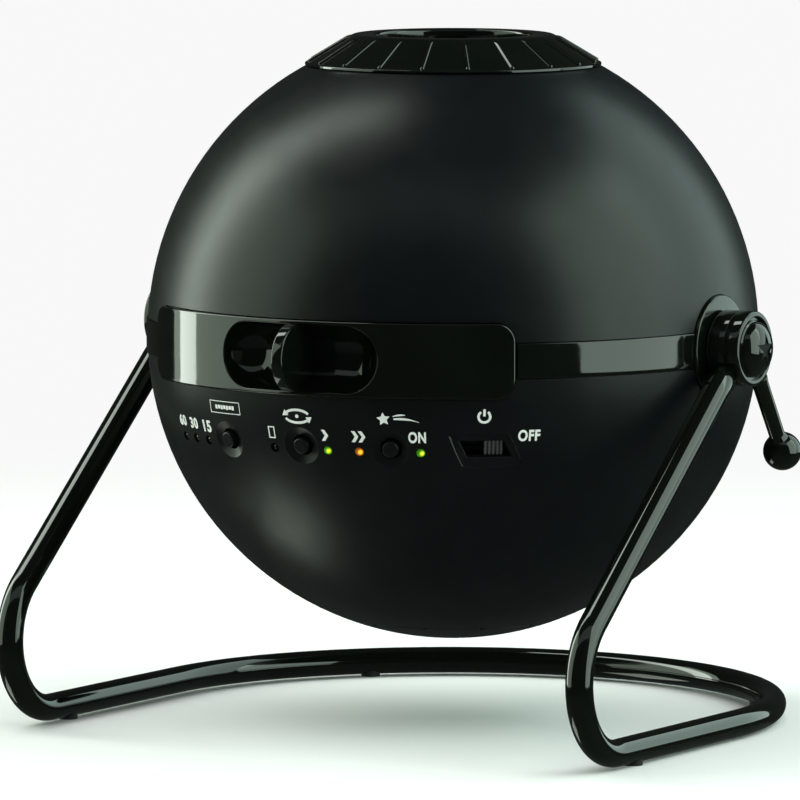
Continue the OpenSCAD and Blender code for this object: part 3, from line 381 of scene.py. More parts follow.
GREEN_GLOW = [(0.18, (0.9, 0.9, 0.04)), (0.3, (0.3, 0.5, 0.0)),
              (0.42, (0.03, 0.14, 0.0)), (0.75, (0.003, 0.03, 0.0))]
AMBER_GLOW = [(0.18, (1.0, 0.72, 0.04)), (0.3, (0.7, 0.3, 0.0)),
              (0.42, (0.22, 0.05, 0.0)), (0.75, (0.06, 0.01, 0.0))]
MATERIALS = {
    "gloss_black": gloss_black(),
    "satin_black": satin_black(),
    "black_rubber": plastic("black_rubber", (0.02, 0.02, 0.02), 0.75, 0.3),
    "steel": metal("steel", (0.6, 0.6, 0.62), 0.3),
    "grey_plastic": plastic("grey_plastic", (0.09, 0.09, 0.095), 0.5),
    "dark_plastic": plastic("dark_plastic", (0.02, 0.02, 0.022), 0.45),
    "cell_jacket": plastic("cell_jacket", (0.55, 0.36, 0.06), 0.25),
    "aluminium": metal("aluminium", (0.75, 0.75, 0.77), 0.35, (0.5, 0.5, 0.5)),
    "white_board": plastic("white_board", (0.7, 0.7, 0.68), 0.4),
    "emitter_yellow": lamp_lens("emitter_yellow", (0.8, 0.65, 0.15)),
    "lens_glass": glass(),
    "board_green": plastic("board_green", (0.02, 0.16, 0.06), 0.35),
    "lamp_green": lamp_lens("lamp_green", (0.02, 0.12, 0.01), GREEN_GLOW),
    "lamp_amber": lamp_lens("lamp_amber", (0.16, 0.05, 0.01), AMBER_GLOW),
    "lamp_dark": lamp_lens("lamp_dark", (0.003, 0.003, 0.003)),
    "star_inlay": plastic("star_inlay_black", (0.003, 0.0035, 0.003), 0.6, 0.2),
    "knob": plastic("switch_knob_grey", (0.05, 0.053, 0.052), 0.5),
    "disc_grey": plastic("disc_grey", (0.2, 0.2, 0.21), 0.45),
    "star_film": star_sheet(),
    "ivory_plastic": plastic("ivory_plastic", (0.7, 0.66, 0.55), 0.4),
    "print": plastic("white_print", (0.78, 0.8, 0.77), 0.5, 0.4, 0.25),
}


def dress_frame():
    """Every CAD node that stays gets the material of its own slot."""
    for part in frame["record"]["subparts"]:
        node = frame["nodes"][part["node"]]
        node.data.materials.clear()
        node.data.materials.append(MATERIALS[part["material_slot"]])


# ---- making meshes ----
def at_ball(x, y, z):
    """A point given in mm from the ball's centre."""
    return PIVOT + Vector((x, y, z)) * MM


def round_ball(radius, azimuth, z):
    """A point in mm at this distance from the ball's upright axis, with its azimuth in radians."""
    return at_ball(radius * math.sin(azimuth), -radius * math.cos(azimuth), z)


def at_table(x, y, z):
    """A point given in mm from the table's origin."""
    return Vector((x, y, z)) * MM


def on_side(side):
    """Puts a lathe's height along the tilt axis, to the right (1) or the left (-1)."""
    return lambda x, y, z: at_ball(side * z, x, y)


def ball_axes(azimuth, latitude):
    """Right, up and outward at a place on the ball."""
    out = direction(azimuth, latitude)
    right = direction(azimuth + 90, 0)
    return right, out.cross(right), out


def on_ball(azimuth, latitude):
    """Puts a lathe's height along the ball's outward line at this place."""
    right, up, out = ball_axes(azimuth, latitude)
    return lambda x, y, z: PIVOT + (right * x + up * y + out * z) * MM


def rounded(corners, steps=5, closed=False):
    """A line of (a, b) or (a, b, radius) corners, with a round of that radius at each corner that has one."""
    points = [Vector(c[:2]) for c in corners]
    line = []
    for i, corner in enumerate(corners):
        radius = corner[2] if len(corner) > 2 else 0
        inside = closed or 0 < i < len(corners) - 1
        if not radius or not inside:
            line.append(points[i])
            continue
        back = (points[i - 1] - points[i]).normalized()
        ahead = (points[(i + 1) % len(points)] - points[i]).normalized()
        half = back.angle(ahead) / 2
        centre = points[i] + (back + ahead).normalized() * radius / math.sin(half)
        start = points[i] + back * radius / math.tan(half) - centre
        end = points[i] + ahead * radius / math.tan(half) - centre
        turn = math.remainder(math.atan2(end.y, end.x) - math.atan2(start.y, start.x), 2 * math.pi)
        for k in range(steps + 1):
            line.append(centre + Matrix.Rotation(turn * k / steps, 2) @ start)
    return line


def arc(radius, centre, start, end, steps):
    """Points of a flat arc, with angles in degrees from the first axis."""
    angles = [math.radians(start + (end - start) * k / steps) for k in range(steps + 1)]
    return [Vector((centre[0] + radius * math.cos(a), centre[1] + radius * math.sin(a))) for a in angles]


def join_rings(bm, rings, closed=False):
    """Faces between rings of equally many points; a ring of one point is a pole."""
    pairs = list(zip(rings, rings[1:]))
    if closed:
        pairs.append((rings[-1], rings[0]))
    for low, high in pairs:
        count = max(len(low), len(high))
        for i in range(count):
            j = (i + 1) % count
            corners = [low[i % len(low)], low[j % len(low)], high[j % len(high)], high[i % len(high)]]
            unique = list(dict.fromkeys(corners))
            if len(unique) > 2:
                bm.faces.new(unique)


def join_rows(bm, rows):
    """Faces between open rows of equally many points."""
    for low, high in zip(rows, rows[1:]):
        for i in range(len(low) - 1):
            corners = list(dict.fromkeys([low[i], low[i + 1], high[i + 1], high[i]]))
            if len(corners) > 2:
                bm.faces.new(corners)


def lathe(bm, line, place=at_ball, segments=96, closed=False):
    """Turns a line of (radius, height) points about its axis."""
    angles = [2 * math.pi * k / segments for k in range(segments)]
    rings = []
    for radius, height in line:
        if radius < 1e-6:
            rings.append([bm.verts.new(place(0, 0, height))])
            continue
        spots = [(radius * math.cos(a), radius * math.sin(a), height) for a in angles]
        rings.append([bm.verts.new(place(*spot)) for spot in spots])
    join_rings(bm, rings, closed)


def tidy_normals(bm):
    """Merges doubled points and turns all faces outwards."""
    bmesh.ops.remove_doubles(bm, verts=bm.verts, dist=1e-7)
    bmesh.ops.recalc_face_normals(bm, faces=bm.faces)


def form_through(rings, closed=False, capped=True):
    """A form through rings of points. A closed one runs on from its last ring into its first, and the
    others get a face at both ends, unless those ends meet in a point or a line."""
    bm = bmesh.new()
    verts = [[bm.verts.new(point) for point in ring] for ring in rings]
    join_rings(bm, verts, closed)
    for end in (verts[0], verts[-1]):
        if capped and not closed and len(end) > 2:
            bm.faces.new(end)
    tidy_normals(bm)
    return bm


def smooth(mesh, sharp):
    """Smooth shading, with edges kept sharp from this angle in degrees."""
    mesh.shade_smooth()
    mesh.set_sharp_from_angle(angle=math.radians(sharp))


def object_of(name, bm, sharp=40):
    """An object from a finished bmesh."""
    mesh = bpy.data.meshes.new(name)
    bm.to_mesh(mesh)
    bm.free()
    smooth(mesh, sharp)
    return new_object(name, mesh)


def applied(obj):
    """Turns an object and its modifiers into a plain mesh at the origin."""
    depsgraph = bpy.context.evaluated_depsgraph_get()
    mesh = bpy.data.meshes.new_from_object(obj.evaluated_get(depsgraph), depsgraph=depsgraph)
    name = obj.name
    plain = new_object(name, mesh)
    bpy.data.objects.remove(obj)
    plain.name = name
    return plain


def declare(obj, body, slot, stands_for=(), material=None):
    """Gives a finished piece its material and its body, and hides the CAD nodes that it stands for."""
    obj.data.materials.clear()
    obj.data.materials.append(material or MATERIALS[slot])
    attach(obj, body)
    if stands_for:
        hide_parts(*stands_for)
    return obj


def turned_piece(name, line, place, body, slot, stands_for=(), segments=96, closed=False, sharp=40):
    """A finished piece of one turned form."""
    bm = bmesh.new()
    lathe(bm, line, place, segments, closed)
    tidy_normals(bm)
    return declare(object_of(name, bm, sharp), body, slot, stands_for)


# ---- stand ----
TUBE_R = 3.3
TUBE_SIDES = 48
HALF_W = 79.5
LEG_ANGLE = 39.8
BEND_R = 18
REAR_ARC_Y = -1.4
HUB_R = 9.1
LEG_GAP = 0.12


def tube_path():
    """Places and directions along the tube's middle line, from the left hub to the right one, in mm."""
    pivot_z = PIVOT.z / MM
    tube_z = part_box("stand_tube")[0].z / MM + TUBE_R
    slope = math.radians(LEG_ANGLE)
    corner_y = -(pivot_z - tube_z) / math.tan(slope)
    bend_y = corner_y + BEND_R * math.tan((math.pi - slope) / 2)
    bend_z = tube_z + BEND_R
    leg = Vector((0, -math.cos(slope), -math.sin(slope)))
    touch = Vector((0, bend_y - BEND_R * math.sin(slope), bend_z + BEND_R * math.cos(slope)))
    hub = Vector((0, 0, pivot_z))
    leg_l = (touch - hub).length
    side = [(hub + leg * (HUB_R + (leg_l - HUB_R) * k / 12), leg) for k in range(13)]
    for k in range(1, 40):
        a = math.pi / 2 + slope + (math.pi - slope) * k / 40
        point = Vector((0, bend_y + BEND_R * math.cos(a), bend_z + BEND_R * math.sin(a)))
        side.append((point, Vector((0, -math.sin(a), math.cos(a)))))
    for k in range(9):
        side.append((Vector((0, bend_y + (REAR_ARC_Y - bend_y) * k / 8, tube_z)), Vector((0, 1, 0))))
    left = [(p + Vector((-HALF_W, 0, 0)), d) for p, d in side]
    rear = []
    for k in range(1, 96):
        a = math.pi - math.pi * k / 96
        point = Vector((HALF_W * math.cos(a), REAR_ARC_Y + HALF_W * math.sin(a), tube_z))
        rear.append((point, Vector((math.sin(a), -math.cos(a), 0))))
    right = [(p + Vector((HALF_W, 0, 0)), -d) for p, d in reversed(side)]
    return left + rear + right


def make_stand_tube():
    """One bent tube. Its ends are rounded and follow the hubs that they run into."""
    path = tube_path()
    rings = []
    across = Vector((1, 0, 0))
    for i, (point, along) in enumerate(path):
        across = (across - along * across.dot(along)).normalized()
        up = along.cross(across)
        end = i in (0, len(path) - 1)
        layers = [(0.0, 0), (TUBE_R - 0.9, 0), (TUBE_R - 0.3, 0.22), (TUBE_R, 0.9)] if end else [(TUBE_R, 0)]
        inward = along if i == 0 else -along
        new = []
        for radius, depth in layers:
            ring = []
            for k in range(TUBE_SIDES):
                a = 2 * math.pi * k / TUBE_SIDES
                aside = up * math.sin(a) * radius
                spot = point + across * math.cos(a) * radius + aside
                if end:
                    near = math.sqrt((HUB_R + LEG_GAP) ** 2 - aside.length ** 2) - HUB_R
                    spot += inward * (near + depth)
                ring.append(at_table(*spot))
            new.append(ring if radius else ring[:1])
        rings += new if i == 0 else list(reversed(new))
    declare(object_of("tube_stand", form_through(rings)), "stand", "gloss_black", ["stand_tube"])


# ---- hubs ----
EYE_IN, EYE_OUT = 75.8, 80.28
HEAD_IN, HEAD_OUT = 80.36, 84.2
CAP_R = 7.7
CAP_SINK = 0.9
CAP_GAP = 0.75
DOME_TOP = 87.4
PIN_R = 2.05
STAR_R = 4.0
STAR_GAP = 0.05
STAR_DEPTH = 0.75
INLAY_HEIGHTS = (86.5, 86.85)
FLANGE_R = 12.6
FLANGE_NECK_R = 9
FLANGE_ROOT, FLANGE_IN, FLANGE_OUT = 68.5, 73, 75


def cap_ring(start):
    """The outer length of a hub, with the ring round its cap."""
    return [(PIN_R, start), (HUB_R, start, 0.05), (HUB_R, HEAD_OUT, 0.6), (CAP_R, HEAD_OUT, 0.25),
            (CAP_R, HEAD_OUT - CAP_SINK), (PIN_R, HEAD_OUT - CAP_SINK)]


def star_outline(radius, waist=0.42, turn=90):
    """The ten corners of a five-pointed star."""
    spots = []
    for k in range(10):
        reach = radius if k % 2 == 0 else radius * waist
        a = math.radians(turn + 36 * k)
        spots.append((reach * math.cos(a), reach * math.sin(a)))
    return spots


def star_block(name, side, radius, heights, sharp=40):
    """A star between two heights over the dome's side of the ball."""
    place = on_side(side)
    rings = [[place(x, y, height) for x, y in star_outline(radius)] for height in heights]
    return object_of(name, form_through(rings), sharp)


def make_cap(name, side, body, node):
    """A glossy dome with a plain five-pointed star sunk in it."""
    foot_r = CAP_R - CAP_GAP
    foot = HEAD_OUT - CAP_SINK + 0.02
    shoulder = HEAD_OUT - 0.1
    line = [(0, foot), (foot_r, foot), (foot_r, shoulder - 0.3)]
    rows = 28
    for k in range(rows + 1):
        a = math.pi / 2 * k / rows
        radius = (foot_r - 0.35) * math.cos(a) ** 0.86 if k < rows else 0
        line.append((radius, shoulder + (DOME_TOP - shoulder) * math.sin(a)))
    bm = bmesh.new()
    lathe(bm, line, on_side(side), 128)
    tidy_normals(bm)
    dome = object_of(name, bm)
    star = star_block("star_cutter", side, STAR_R + STAR_GAP, (DOME_TOP - STAR_DEPTH, DOME_TOP + 1))
    cut = dome.modifiers.new("star", "BOOLEAN")
    cut.operation = "DIFFERENCE"
    cut.solver = "EXACT"
    cut.object = star
    dome = applied(dome)
    bpy.data.objects.remove(star)
    smooth(dome.data, 40)
    declare(dome, body, "gloss_black", [node])
    inlay = star_block(f"{name}_star", side, STAR_R, INLAY_HEIGHTS, 20)
    declare(inlay, body, "satin_black", material=MATERIALS["star_inlay"])


def make_hubs():
    eye = [(PIN_R, EYE_IN), (HUB_R, EYE_IN, 0.4), (HUB_R, EYE_OUT, 0.05), (PIN_R, EYE_OUT)]
    left = [(PIN_R, EYE_IN), (HUB_R, EYE_IN, 0.4)] + cap_ring(EYE_IN)[2:]
    hubs = (("right_eye", eye, 1, "stand", "right_hub_eye"), ("left_eye", left, -1, "stand", "left_hub_eye"),
            ("clamp_hub", cap_ring(HEAD_IN), 1, "clamp_lever", "clamp_head"))
    for name, line, side, body, node in hubs:
        turned_piece(name, rounded(line, closed=True), on_side(side), body, "gloss_black", [node],
                     closed=True)
    make_cap("right_cap", 1, "clamp_lever", "right_hub_cap")
    make_cap("left_cap", -1, "stand", "left_hub_cap")
    flange = [(PIN_R, FLANGE_ROOT), (FLANGE_NECK_R, FLANGE_ROOT), (FLANGE_NECK_R, FLANGE_IN),
              (FLANGE_R, FLANGE_IN, 0.15), (FLANGE_R, FLANGE_OUT, 0.55), (PIN_R, FLANGE_OUT)]
    for side, name in ((1, "right"), (-1, "left")):
        turned_piece(f"{name}_flange", rounded(flange, closed=True), on_side(side), "ball", "gloss_black",
                     [f"{name}_pivot_flange"], segments=128, closed=True)


LEVER_ANGLE = 33.4
LEVER_X = 82.4
LEVER_BALL_AT = 31.6
LEVER_BALL_R = 4.7
LEVER_R = 2


def make_lever():
    """The rod swells a little towards the hub and runs into a small ball."""
    slope = math.radians(LEVER_ANGLE)
    along = Vector((0, math.sin(slope), -math.cos(slope)))
    back = Vector((0, math.cos(slope), math.sin(slope)))
    across = Vector((1, 0, 0))

    def place(x, y, z):
        return at_ball(*(across * (LEVER_X + x) + back * y + along * z))

    start = math.sqrt((HUB_R + 0.02) ** 2 - LEVER_R ** 2)
    rod = [(0, start), (LEVER_R + 0.25, start, 0.2), (LEVER_R, start + 2.2),
           (LEVER_R - 0.05, LEVER_BALL_AT - 5.2, 1.2), (LEVER_R + 0.5, LEVER_BALL_AT - 3.9),
           (0, LEVER_BALL_AT - 3.4)]
    turned_piece("lever_stem", rounded(rod), place, "clamp_lever", "gloss_black", ["lever_rod"], 48)
    knob = arc(LEVER_BALL_R, (0, LEVER_BALL_AT), -90, 90, 32)
    knob[0].x = knob[-1].x = 0
    turned_piece("lever_knob", knob, place, "clamp_lever", "gloss_black", ["lever_ball"], 64)


# ---- belt ----
BELT_R = 75.25
BELT_IN = 73.85
BELT_HALF_H = 4.2
BELT_CUT_R = 13
BELT_START = 42


def belt_end(limit, radius, z):
    """The azimuth of one end of the belt; at a flange it follows the flange's round edge."""
    reach = math.degrees(math.acos(math.sqrt(BELT_CUT_R ** 2 - z * z) / radius))
    round_ends = {"right front": reach, "right rear": 180 - reach,
                  "left rear": 180 + reach, "left front": -reach}
    return math.radians(round_ends.get(limit, limit))


def make_belt(name, node, first, last, steps):
    """Part of the belt, with rounded edges."""
    edge = [(BELT_IN, -BELT_HALF_H, 0.1), (BELT_R, -BELT_HALF_H, 0.3), (BELT_R, BELT_HALF_H, 0.3),
            (BELT_IN, BELT_HALF_H, 0.1)]
    corners = rounded(edge, 4, closed=True)
    outline = []
    for i, point in enumerate(corners):
        after = corners[(i + 1) % len(corners)]
        parts = 6 if (after - point).length > 2 else 1
        outline += [point.lerp(after, k / parts) for k in range(parts)]
    rings = []
    for k in range(steps + 1):
        ring = []
        for radius, z in outline:
            start, end = belt_end(first, radius, z), belt_end(last, radius, z)
            ring.append(round_ball(radius, start + (end - start) * k / steps, z))
        rings.append(ring)
    declare(object_of(name, form_through(rings), 30), "ball", "gloss_black", [node])


def make_belts():
    make_belt("belt_right", "belt_front_right", BELT_START, "right front", 48)
    make_belt("belt_left", "belt_front_left", "left front", -BELT_START, 48)
    make_belt("belt_back", "belt_rear", "right rear", "left rear", 140)


# ---- tray front ----
PLATE_R = 75.7
PLATE_T = 1.9
PLATE_HALF_ANGLE = 41.5
PLATE_HALF_H = 9
PLATE_CORNER = 4.6
PLATE_EDGE = 0.4
WINDOW_HALF_ANGLE = 41.75
WINDOW_HALF_H = 9.2
POCKET_IN_R = 73.5
SCOOP_R = 8
SCOOP_HALF_ANGLE = 10.3
SCOOP_WALL = 0.8
SCOOP_RIM = 0.32
FIN_T = 3


def on_plate(s, z, depth):
    """A point on the tray front: s mm along its curve, z mm up and depth mm behind its face."""
    return round_ball(PLATE_R - depth, s / PLATE_R, z)


def plate_rays():
    """Matching points on the scoop's middle line and on the plate's outline, once round the plate."""
    mid = PLATE_R * math.radians(SCOOP_HALF_ANGLE)
    end = PLATE_R * math.radians(PLATE_HALF_ANGLE)
    corner_s, corner_z = end - PLATE_CORNER, PLATE_HALF_H - PLATE_CORNER
    outline = [(mid + (corner_s - mid) * k / 10, PLATE_HALF_H, 0, 1) for k in range(10)]
    for k in range(13):
        a = math.radians(90 - 90 * k / 12)
        outline.append((corner_s + PLATE_CORNER * math.cos(a), corner_z + PLATE_CORNER * math.sin(a),
                        math.cos(a), math.sin(a)))
    for k in range(1, 5):
        outline.append((end, corner_z * (1 - k / 4), 1, 0))
    first = [(mid * k / 24, 0, 1, mid * k / 24, PLATE_HALF_H, 0, 1) for k in range(24)]
    for k, (s, z, out_s, out_z) in enumerate(outline):
        a = math.radians(90 - 90 * k / (len(outline) - 1))
        first.append((mid, math.cos(a), math.sin(a), s, z, out_s, out_z))
    mirrored = [(m, c, -d, s, -z, u, -v) for m, c, d, s, z, u, v in reversed(first[:-1])]
    right = first + mirrored
    left = [(-m, -c, d, -s, z, -u, v) for m, c, d, s, z, u, v in reversed(right[1:-1])]
    return right + left


def make_tray_plate():
    """The curved plate with its finger scoop: rings run from the scoop's floor over its rim to the plate's
    rounded edge, and back behind it to the scoop's outer wall."""
    rays = plate_rays()

    def inner(q, depth):
        return [(m + q * c, q * d, depth) for m, c, d, *_ in rays]

    def outer(inset, depth):
        return [(s - inset * u, z - inset * v, depth) for _, _, _, s, z, u, v in rays]

    def bowl(radius, depth_from, steps):
        start = math.asin(depth_from / radius)
        angles = [start + (math.pi / 2 - start) * k / steps for k in range(steps + 1)]
        return [inner(radius * math.cos(a), radius * math.sin(a)) for a in angles]

    rings = list(reversed(bowl(SCOOP_R, SCOOP_RIM, 26)))
    for k in range(1, 6):
        a = math.radians(90 * k / 5)
        rings.append(inner(SCOOP_R + SCOOP_RIM * (1 - math.cos(a)), SCOOP_RIM * (1 - math.sin(a))))
    near_rim = inner(SCOOP_R + SCOOP_RIM + 0.06, 0)
    near_edge = outer(PLATE_EDGE + 0.06, 0)
    for k in range(7):
        rings.append([tuple(a + (b - a) * k / 6 for a, b in zip(p, q)) for p, q in zip(near_rim, near_edge)])
    for k in range(6):
        a = math.radians(90 * k / 5)
        rings.append(outer(PLATE_EDGE * (1 - math.sin(a)), PLATE_EDGE * (1 - math.cos(a))))
    rings.append(outer(0, PLATE_T - 0.1))
    rings.append(outer(0.1, PLATE_T))
    rings += bowl(SCOOP_R + SCOOP_WALL, PLATE_T, 16)
    plate = form_through([[on_plate(*p) for p in ring] for ring in rings], capped=False)
    declare(object_of("tray_plate", plate, 50), "tray", "gloss_black", ["tray_front"])


def make_pocket_corners():
    """Fills the corners of the shell's window, so that it follows the plate's rounded corners."""
    middle_s = PLATE_R * math.radians(PLATE_HALF_ANGLE) - PLATE_CORNER
    middle_z = PLATE_HALF_H - PLATE_CORNER
    far_s, far_z = PLATE_R * math.radians(WINDOW_HALF_ANGLE) + 0.02, WINDOW_HALF_H + 0.02
    near = WINDOW_HALF_H - middle_z
    steps = 16
    bm = bmesh.new()
    for side, level in ((1, 1), (1, -1), (-1, 1), (-1, -1)):
        skin, inside = [], []
        for k in range(steps + 1):
            a = math.radians(90 - 90 * k / steps)
            inner = Vector((middle_s + near * math.cos(a), middle_z + near * math.sin(a)))
            ahead = min(1, 2 * k / steps)
            down = max(0, 2 * k / steps - 1)
            outer = Vector((middle_s + (far_s - middle_s) * ahead, far_z + (middle_z - far_z) * down))
            spots = [inner.lerp(outer, j / 4) for j in range(5)]
            for layer, reach in ((skin, lambda z: math.sqrt((BALL_R / MM - 0.01) ** 2 - z ** 2)),
                                 (inside, lambda z: POCKET_IN_R)):
                layer.append([bm.verts.new(round_ball(reach(spot.y), side * spot.x / PLATE_R, level * spot.y))
                              for spot in spots])
        join_rows(bm, skin)
        join_rows(bm, inside)
        for edge in (0, -1):
            join_rows(bm, [[row[edge] for row in layer] for layer in (skin, inside)])
    tidy_normals(bm)
    bmesh.ops.holes_fill(bm, edges=[e for e in bm.edges if e.is_boundary])
    bmesh.ops.recalc_face_normals(bm, faces=bm.faces)
    declare(object_of("window_corners", bm, 30), "ball", "satin_black")


def make_fin():
    """The half-round fin in the scoop, as a disc with rounded edges whose rear half is sunk in the scoop."""
    half, reach = FIN_T / 2, SCOOP_R + 0.1
    line = [(0, -half), (reach, -half, 0.55), (reach, half, 0.55), (0, half)]
    turned_piece("tray_fin", rounded(line, 8), lambda x, y, z: at_ball(z, x - PLATE_R, y), "tray",
                 "gloss_black", segments=128)


# ---- focus ring ----
HOOD_FOOT = (36.3, 66.53)
HOOD_TOP = 73.5
HOOD_BORE_R = 19.3
HOOD_GAP = 0.3
CONE_FOOT = Vector(HOOD_FOOT) + Vector((-0.9, 0.4))
CONE_RIM = Vector((24.4, HOOD_TOP))
SKIRT_R = 21.2
SKIRT_BOTTOM = 64.8
RIB_COUNT = 20
RIB_R = 0.5
RIB_ENDS_BEFORE = 1.1


def make_focus_ring():
    """The ribbed cone with its soft rim. Its underside follows the ball."""
    foot_r, foot_z = HOOD_FOOT
    under = []
    for k in range(13):
        radius = foot_r - 0.1 + (SKIRT_R - foot_r + 0.1) * k / 12
        under.append((radius, math.sqrt((BALL_R / MM + HOOD_GAP) ** 2 - radius ** 2)))
    line = under + [(SKIRT_R, SKIRT_BOTTOM, 0.2), (HOOD_BORE_R, SKIRT_BOTTOM, 0.2),
                    (HOOD_BORE_R, HOOD_TOP, 0.7), (*CONE_RIM, 2.8), (*CONE_FOOT, 0.35),
                    (foot_r, foot_z, 0.25), (foot_r, under[0][1])]
    turned_piece("hood", rounded(line, 6, closed=True), at_ball, "focus", "gloss_black", ["focus_ring"],
                 segments=160, closed=True, sharp=35)


def node_tree(name, sockets):
    """An empty Geometry Nodes tree with named inputs, and the identifiers of those inputs."""
    tree = bpy.data.node_groups.new(name, "GeometryNodeTree")
    tree.interface.new_socket("Geometry", in_out="INPUT", socket_type="NodeSocketGeometry")
    tree.interface.new_socket("Geometry", in_out="OUTPUT", socket_type="NodeSocketGeometry")
    ids = {}
    for label, kind in sockets.items():
        ids[label] = tree.interface.new_socket(label, in_out="INPUT", socket_type=kind).identifier
    return tree, ids


def round_pattern_tree():
    """Repeats one shape round the vertical axis through a point, a given number of times."""
    tree, ids = node_tree("round_pattern", {"Shape": "NodeSocketObject", "Count": "NodeSocketInt",
                                            "First Turn": "NodeSocketFloat", "Centre": "NodeSocketVector",
                                            "Material": "NodeSocketMaterial"})
    new = tree.nodes.new
    entry, leave = new("NodeGroupInput").outputs, new("NodeGroupOutput").inputs
    points, index = new("GeometryNodePoints"), new("GeometryNodeInputIndex")
    share, angle, turn = new("ShaderNodeMath"), new("ShaderNodeMath"), new("ShaderNodeCombineXYZ")
    share.operation = "DIVIDE"
    angle.operation = "MULTIPLY_ADD"
    angle.inputs[1].default_value = 2 * math.pi
    shape, repeat = new("GeometryNodeObjectInfo"), new("GeometryNodeInstanceOnPoints")
    realize, paint = new("GeometryNodeRealizeInstances"), new("GeometryNodeSetMaterial")
    join(tree, (entry["Count"], points.inputs["Count"]), (entry["Centre"], points.inputs["Position"]),
         (index.outputs[0], share.inputs[0]), (entry["Count"], share.inputs[1]),
         (share.outputs[0], angle.inputs[0]), (entry["First Turn"], angle.inputs[2]),
         (angle.outputs[0], turn.inputs["Z"]), (entry["Shape"], shape.inputs["Object"]),
         (points.outputs[0], repeat.inputs["Points"]), (shape.outputs["Geometry"], repeat.inputs["Instance"]),
         (turn.outputs[0], repeat.inputs["Rotation"]), (repeat.outputs[0], realize.inputs[0]),
         (realize.outputs[0], paint.inputs["Geometry"]), (entry["Material"], paint.inputs["Material"]),
         (paint.outputs[0], leave[0]))
    return tree, ids


def repeat_round(name, shape, count, first_turn, slot):
    """A plain mesh of one shape, repeated about the vertical through the pivot."""
    tree, ids = round_pattern_tree()
    carrier = new_object(name, bpy.data.meshes.new(name))
    modifier = carrier.modifiers.new("pattern", "NODES")
    modifier.node_group = tree
    inputs = {"Shape": shape, "Count": count, "First Turn": first_turn, "Centre": PIVOT,
              "Material": MATERIALS[slot]}
    for label, value in inputs.items():
        modifier[ids[label]] = value
    result = applied(carrier)
    bpy.data.objects.remove(shape)
    return result


def make_ribs():
    """Slim half-round grip ribs up the cone, each with a rounded foot and a fading top."""
    slope = (CONE_RIM - CONE_FOOT).normalized()
    up = Vector((slope.y, -slope.x))
    length = (CONE_RIM - CONE_FOOT).length - RIB_ENDS_BEFORE
    rings = []
    steps = 30
    for k in range(steps + 1):
        share = k / steps
        at = -RIB_R + (length + RIB_R) * share
        reach = RIB_R * math.sqrt(max(0.0, 1 - (1 - min(1, (at + RIB_R) / RIB_R)) ** 2))
        fade = 1 - 0.85 * max(0.0, (share - 0.85) / 0.15) ** 2
        middle = CONE_FOOT + slope * at
        ring = []
        for j in range(12):
            a = 2 * math.pi * j / 12
            lift = up * (math.cos(a) * reach * fade - 0.02)
            ring.append(at_table(middle.x + lift.x, math.sin(a) * reach, middle.y + lift.y))
        rings.append(ring)
    rib = object_of("rib", form_through([rings[0][:1]] + rings[1:]), 50)
    ribs = repeat_round("hood_ribs", rib, RIB_COUNT, -math.pi / 2, "gloss_black")
    ribs.data.shade_smooth()
    declare(ribs, "focus", "gloss_black")


# ---- controls ----
CONTROL_LAT = -16.6
BUTTON_PITCH = 18.3
LAMP_LAT = -17.3
BUTTON_R = 2.0
BUTTON_TOP = 75.5
BUTTON_ROOT = 69.6
LIT_LAMP, DARK_LAMP = (1.15, 74.35), (1.0, 73.85)  # radius, and where the dome begins
LAMP_ROOT = 70.5
GLOW_AT = 75.4
LAMPS = {
    "green_lens": ("green_lamps", "lamp_green", [5.5, 24]),
    "amber_lens": ("amber_lamp", "lamp_amber", [12]),
    "dark_lens": ("unlit_lamps", "lamp_dark", [-34.3, -29.7, -25.1, -6.3]),
}


def make_buttons():
    """Slim round buttons with a soft edge, proud of the dish, with an open gap round each."""
    line = [(0, BUTTON_ROOT), (BUTTON_R, BUTTON_ROOT), (BUTTON_R, BUTTON_TOP, 0.35),
            (0.9, BUTTON_TOP + 0.03, 0.5), (0, BUTTON_TOP - 0.05)]
    for step, body in ((-1, "timer"), (0, "rotation"), (1, "meteor")):
        turned_piece(f"{body}_cap", rounded(line, 6), on_ball(step * BUTTON_PITCH, CONTROL_LAT), body,
                     "satin_black", [f"{body}_button"], 48)


def make_lamps():
    """Light pipes. The lit ones are domed, the dark ones lie a little below the shell."""
    for name, (node, slot, azimuths) in LAMPS.items():
        radius, middle = DARK_LAMP if slot == "lamp_dark" else LIT_LAMP
        bm = bmesh.new()
        for azimuth in azimuths:
            dome = arc(radius, (0, middle), 0, 90, 14)
            dome[-1].x = 0
            lathe(bm, [(0, LAMP_ROOT), (radius, LAMP_ROOT)] + dome, on_ball(azimuth, LAMP_LAT), 32)
        tidy_normals(bm)
        glow = bm.loops.layers.uv.new("glow")
        spots = [PIVOT + direction(azimuth + 0.4, LAMP_LAT + 0.1) * GLOW_AT * MM for azimuth in azimuths]
        for face in bm.faces:
            for corner in face.loops:
                away = min((corner.vert.co - spot).length for spot in spots)
                corner[glow].uv = (away / (2 * MM), 0)
        declare(object_of(name, bm), "ball", slot, [node])


# ---- power switch ----
SWITCH_AZ = 36.4
SLOT_L = 10.6
SLOT_H = 4
SLOT_LEAN = 2
SURROUND_DEPTH = 0.5
KNOB_L = 4.4
KNOB_AT = 2.0
KNOB_TOP = 73.5
KNOB_ROOT = 70.2
KNOB_RIBS = 5


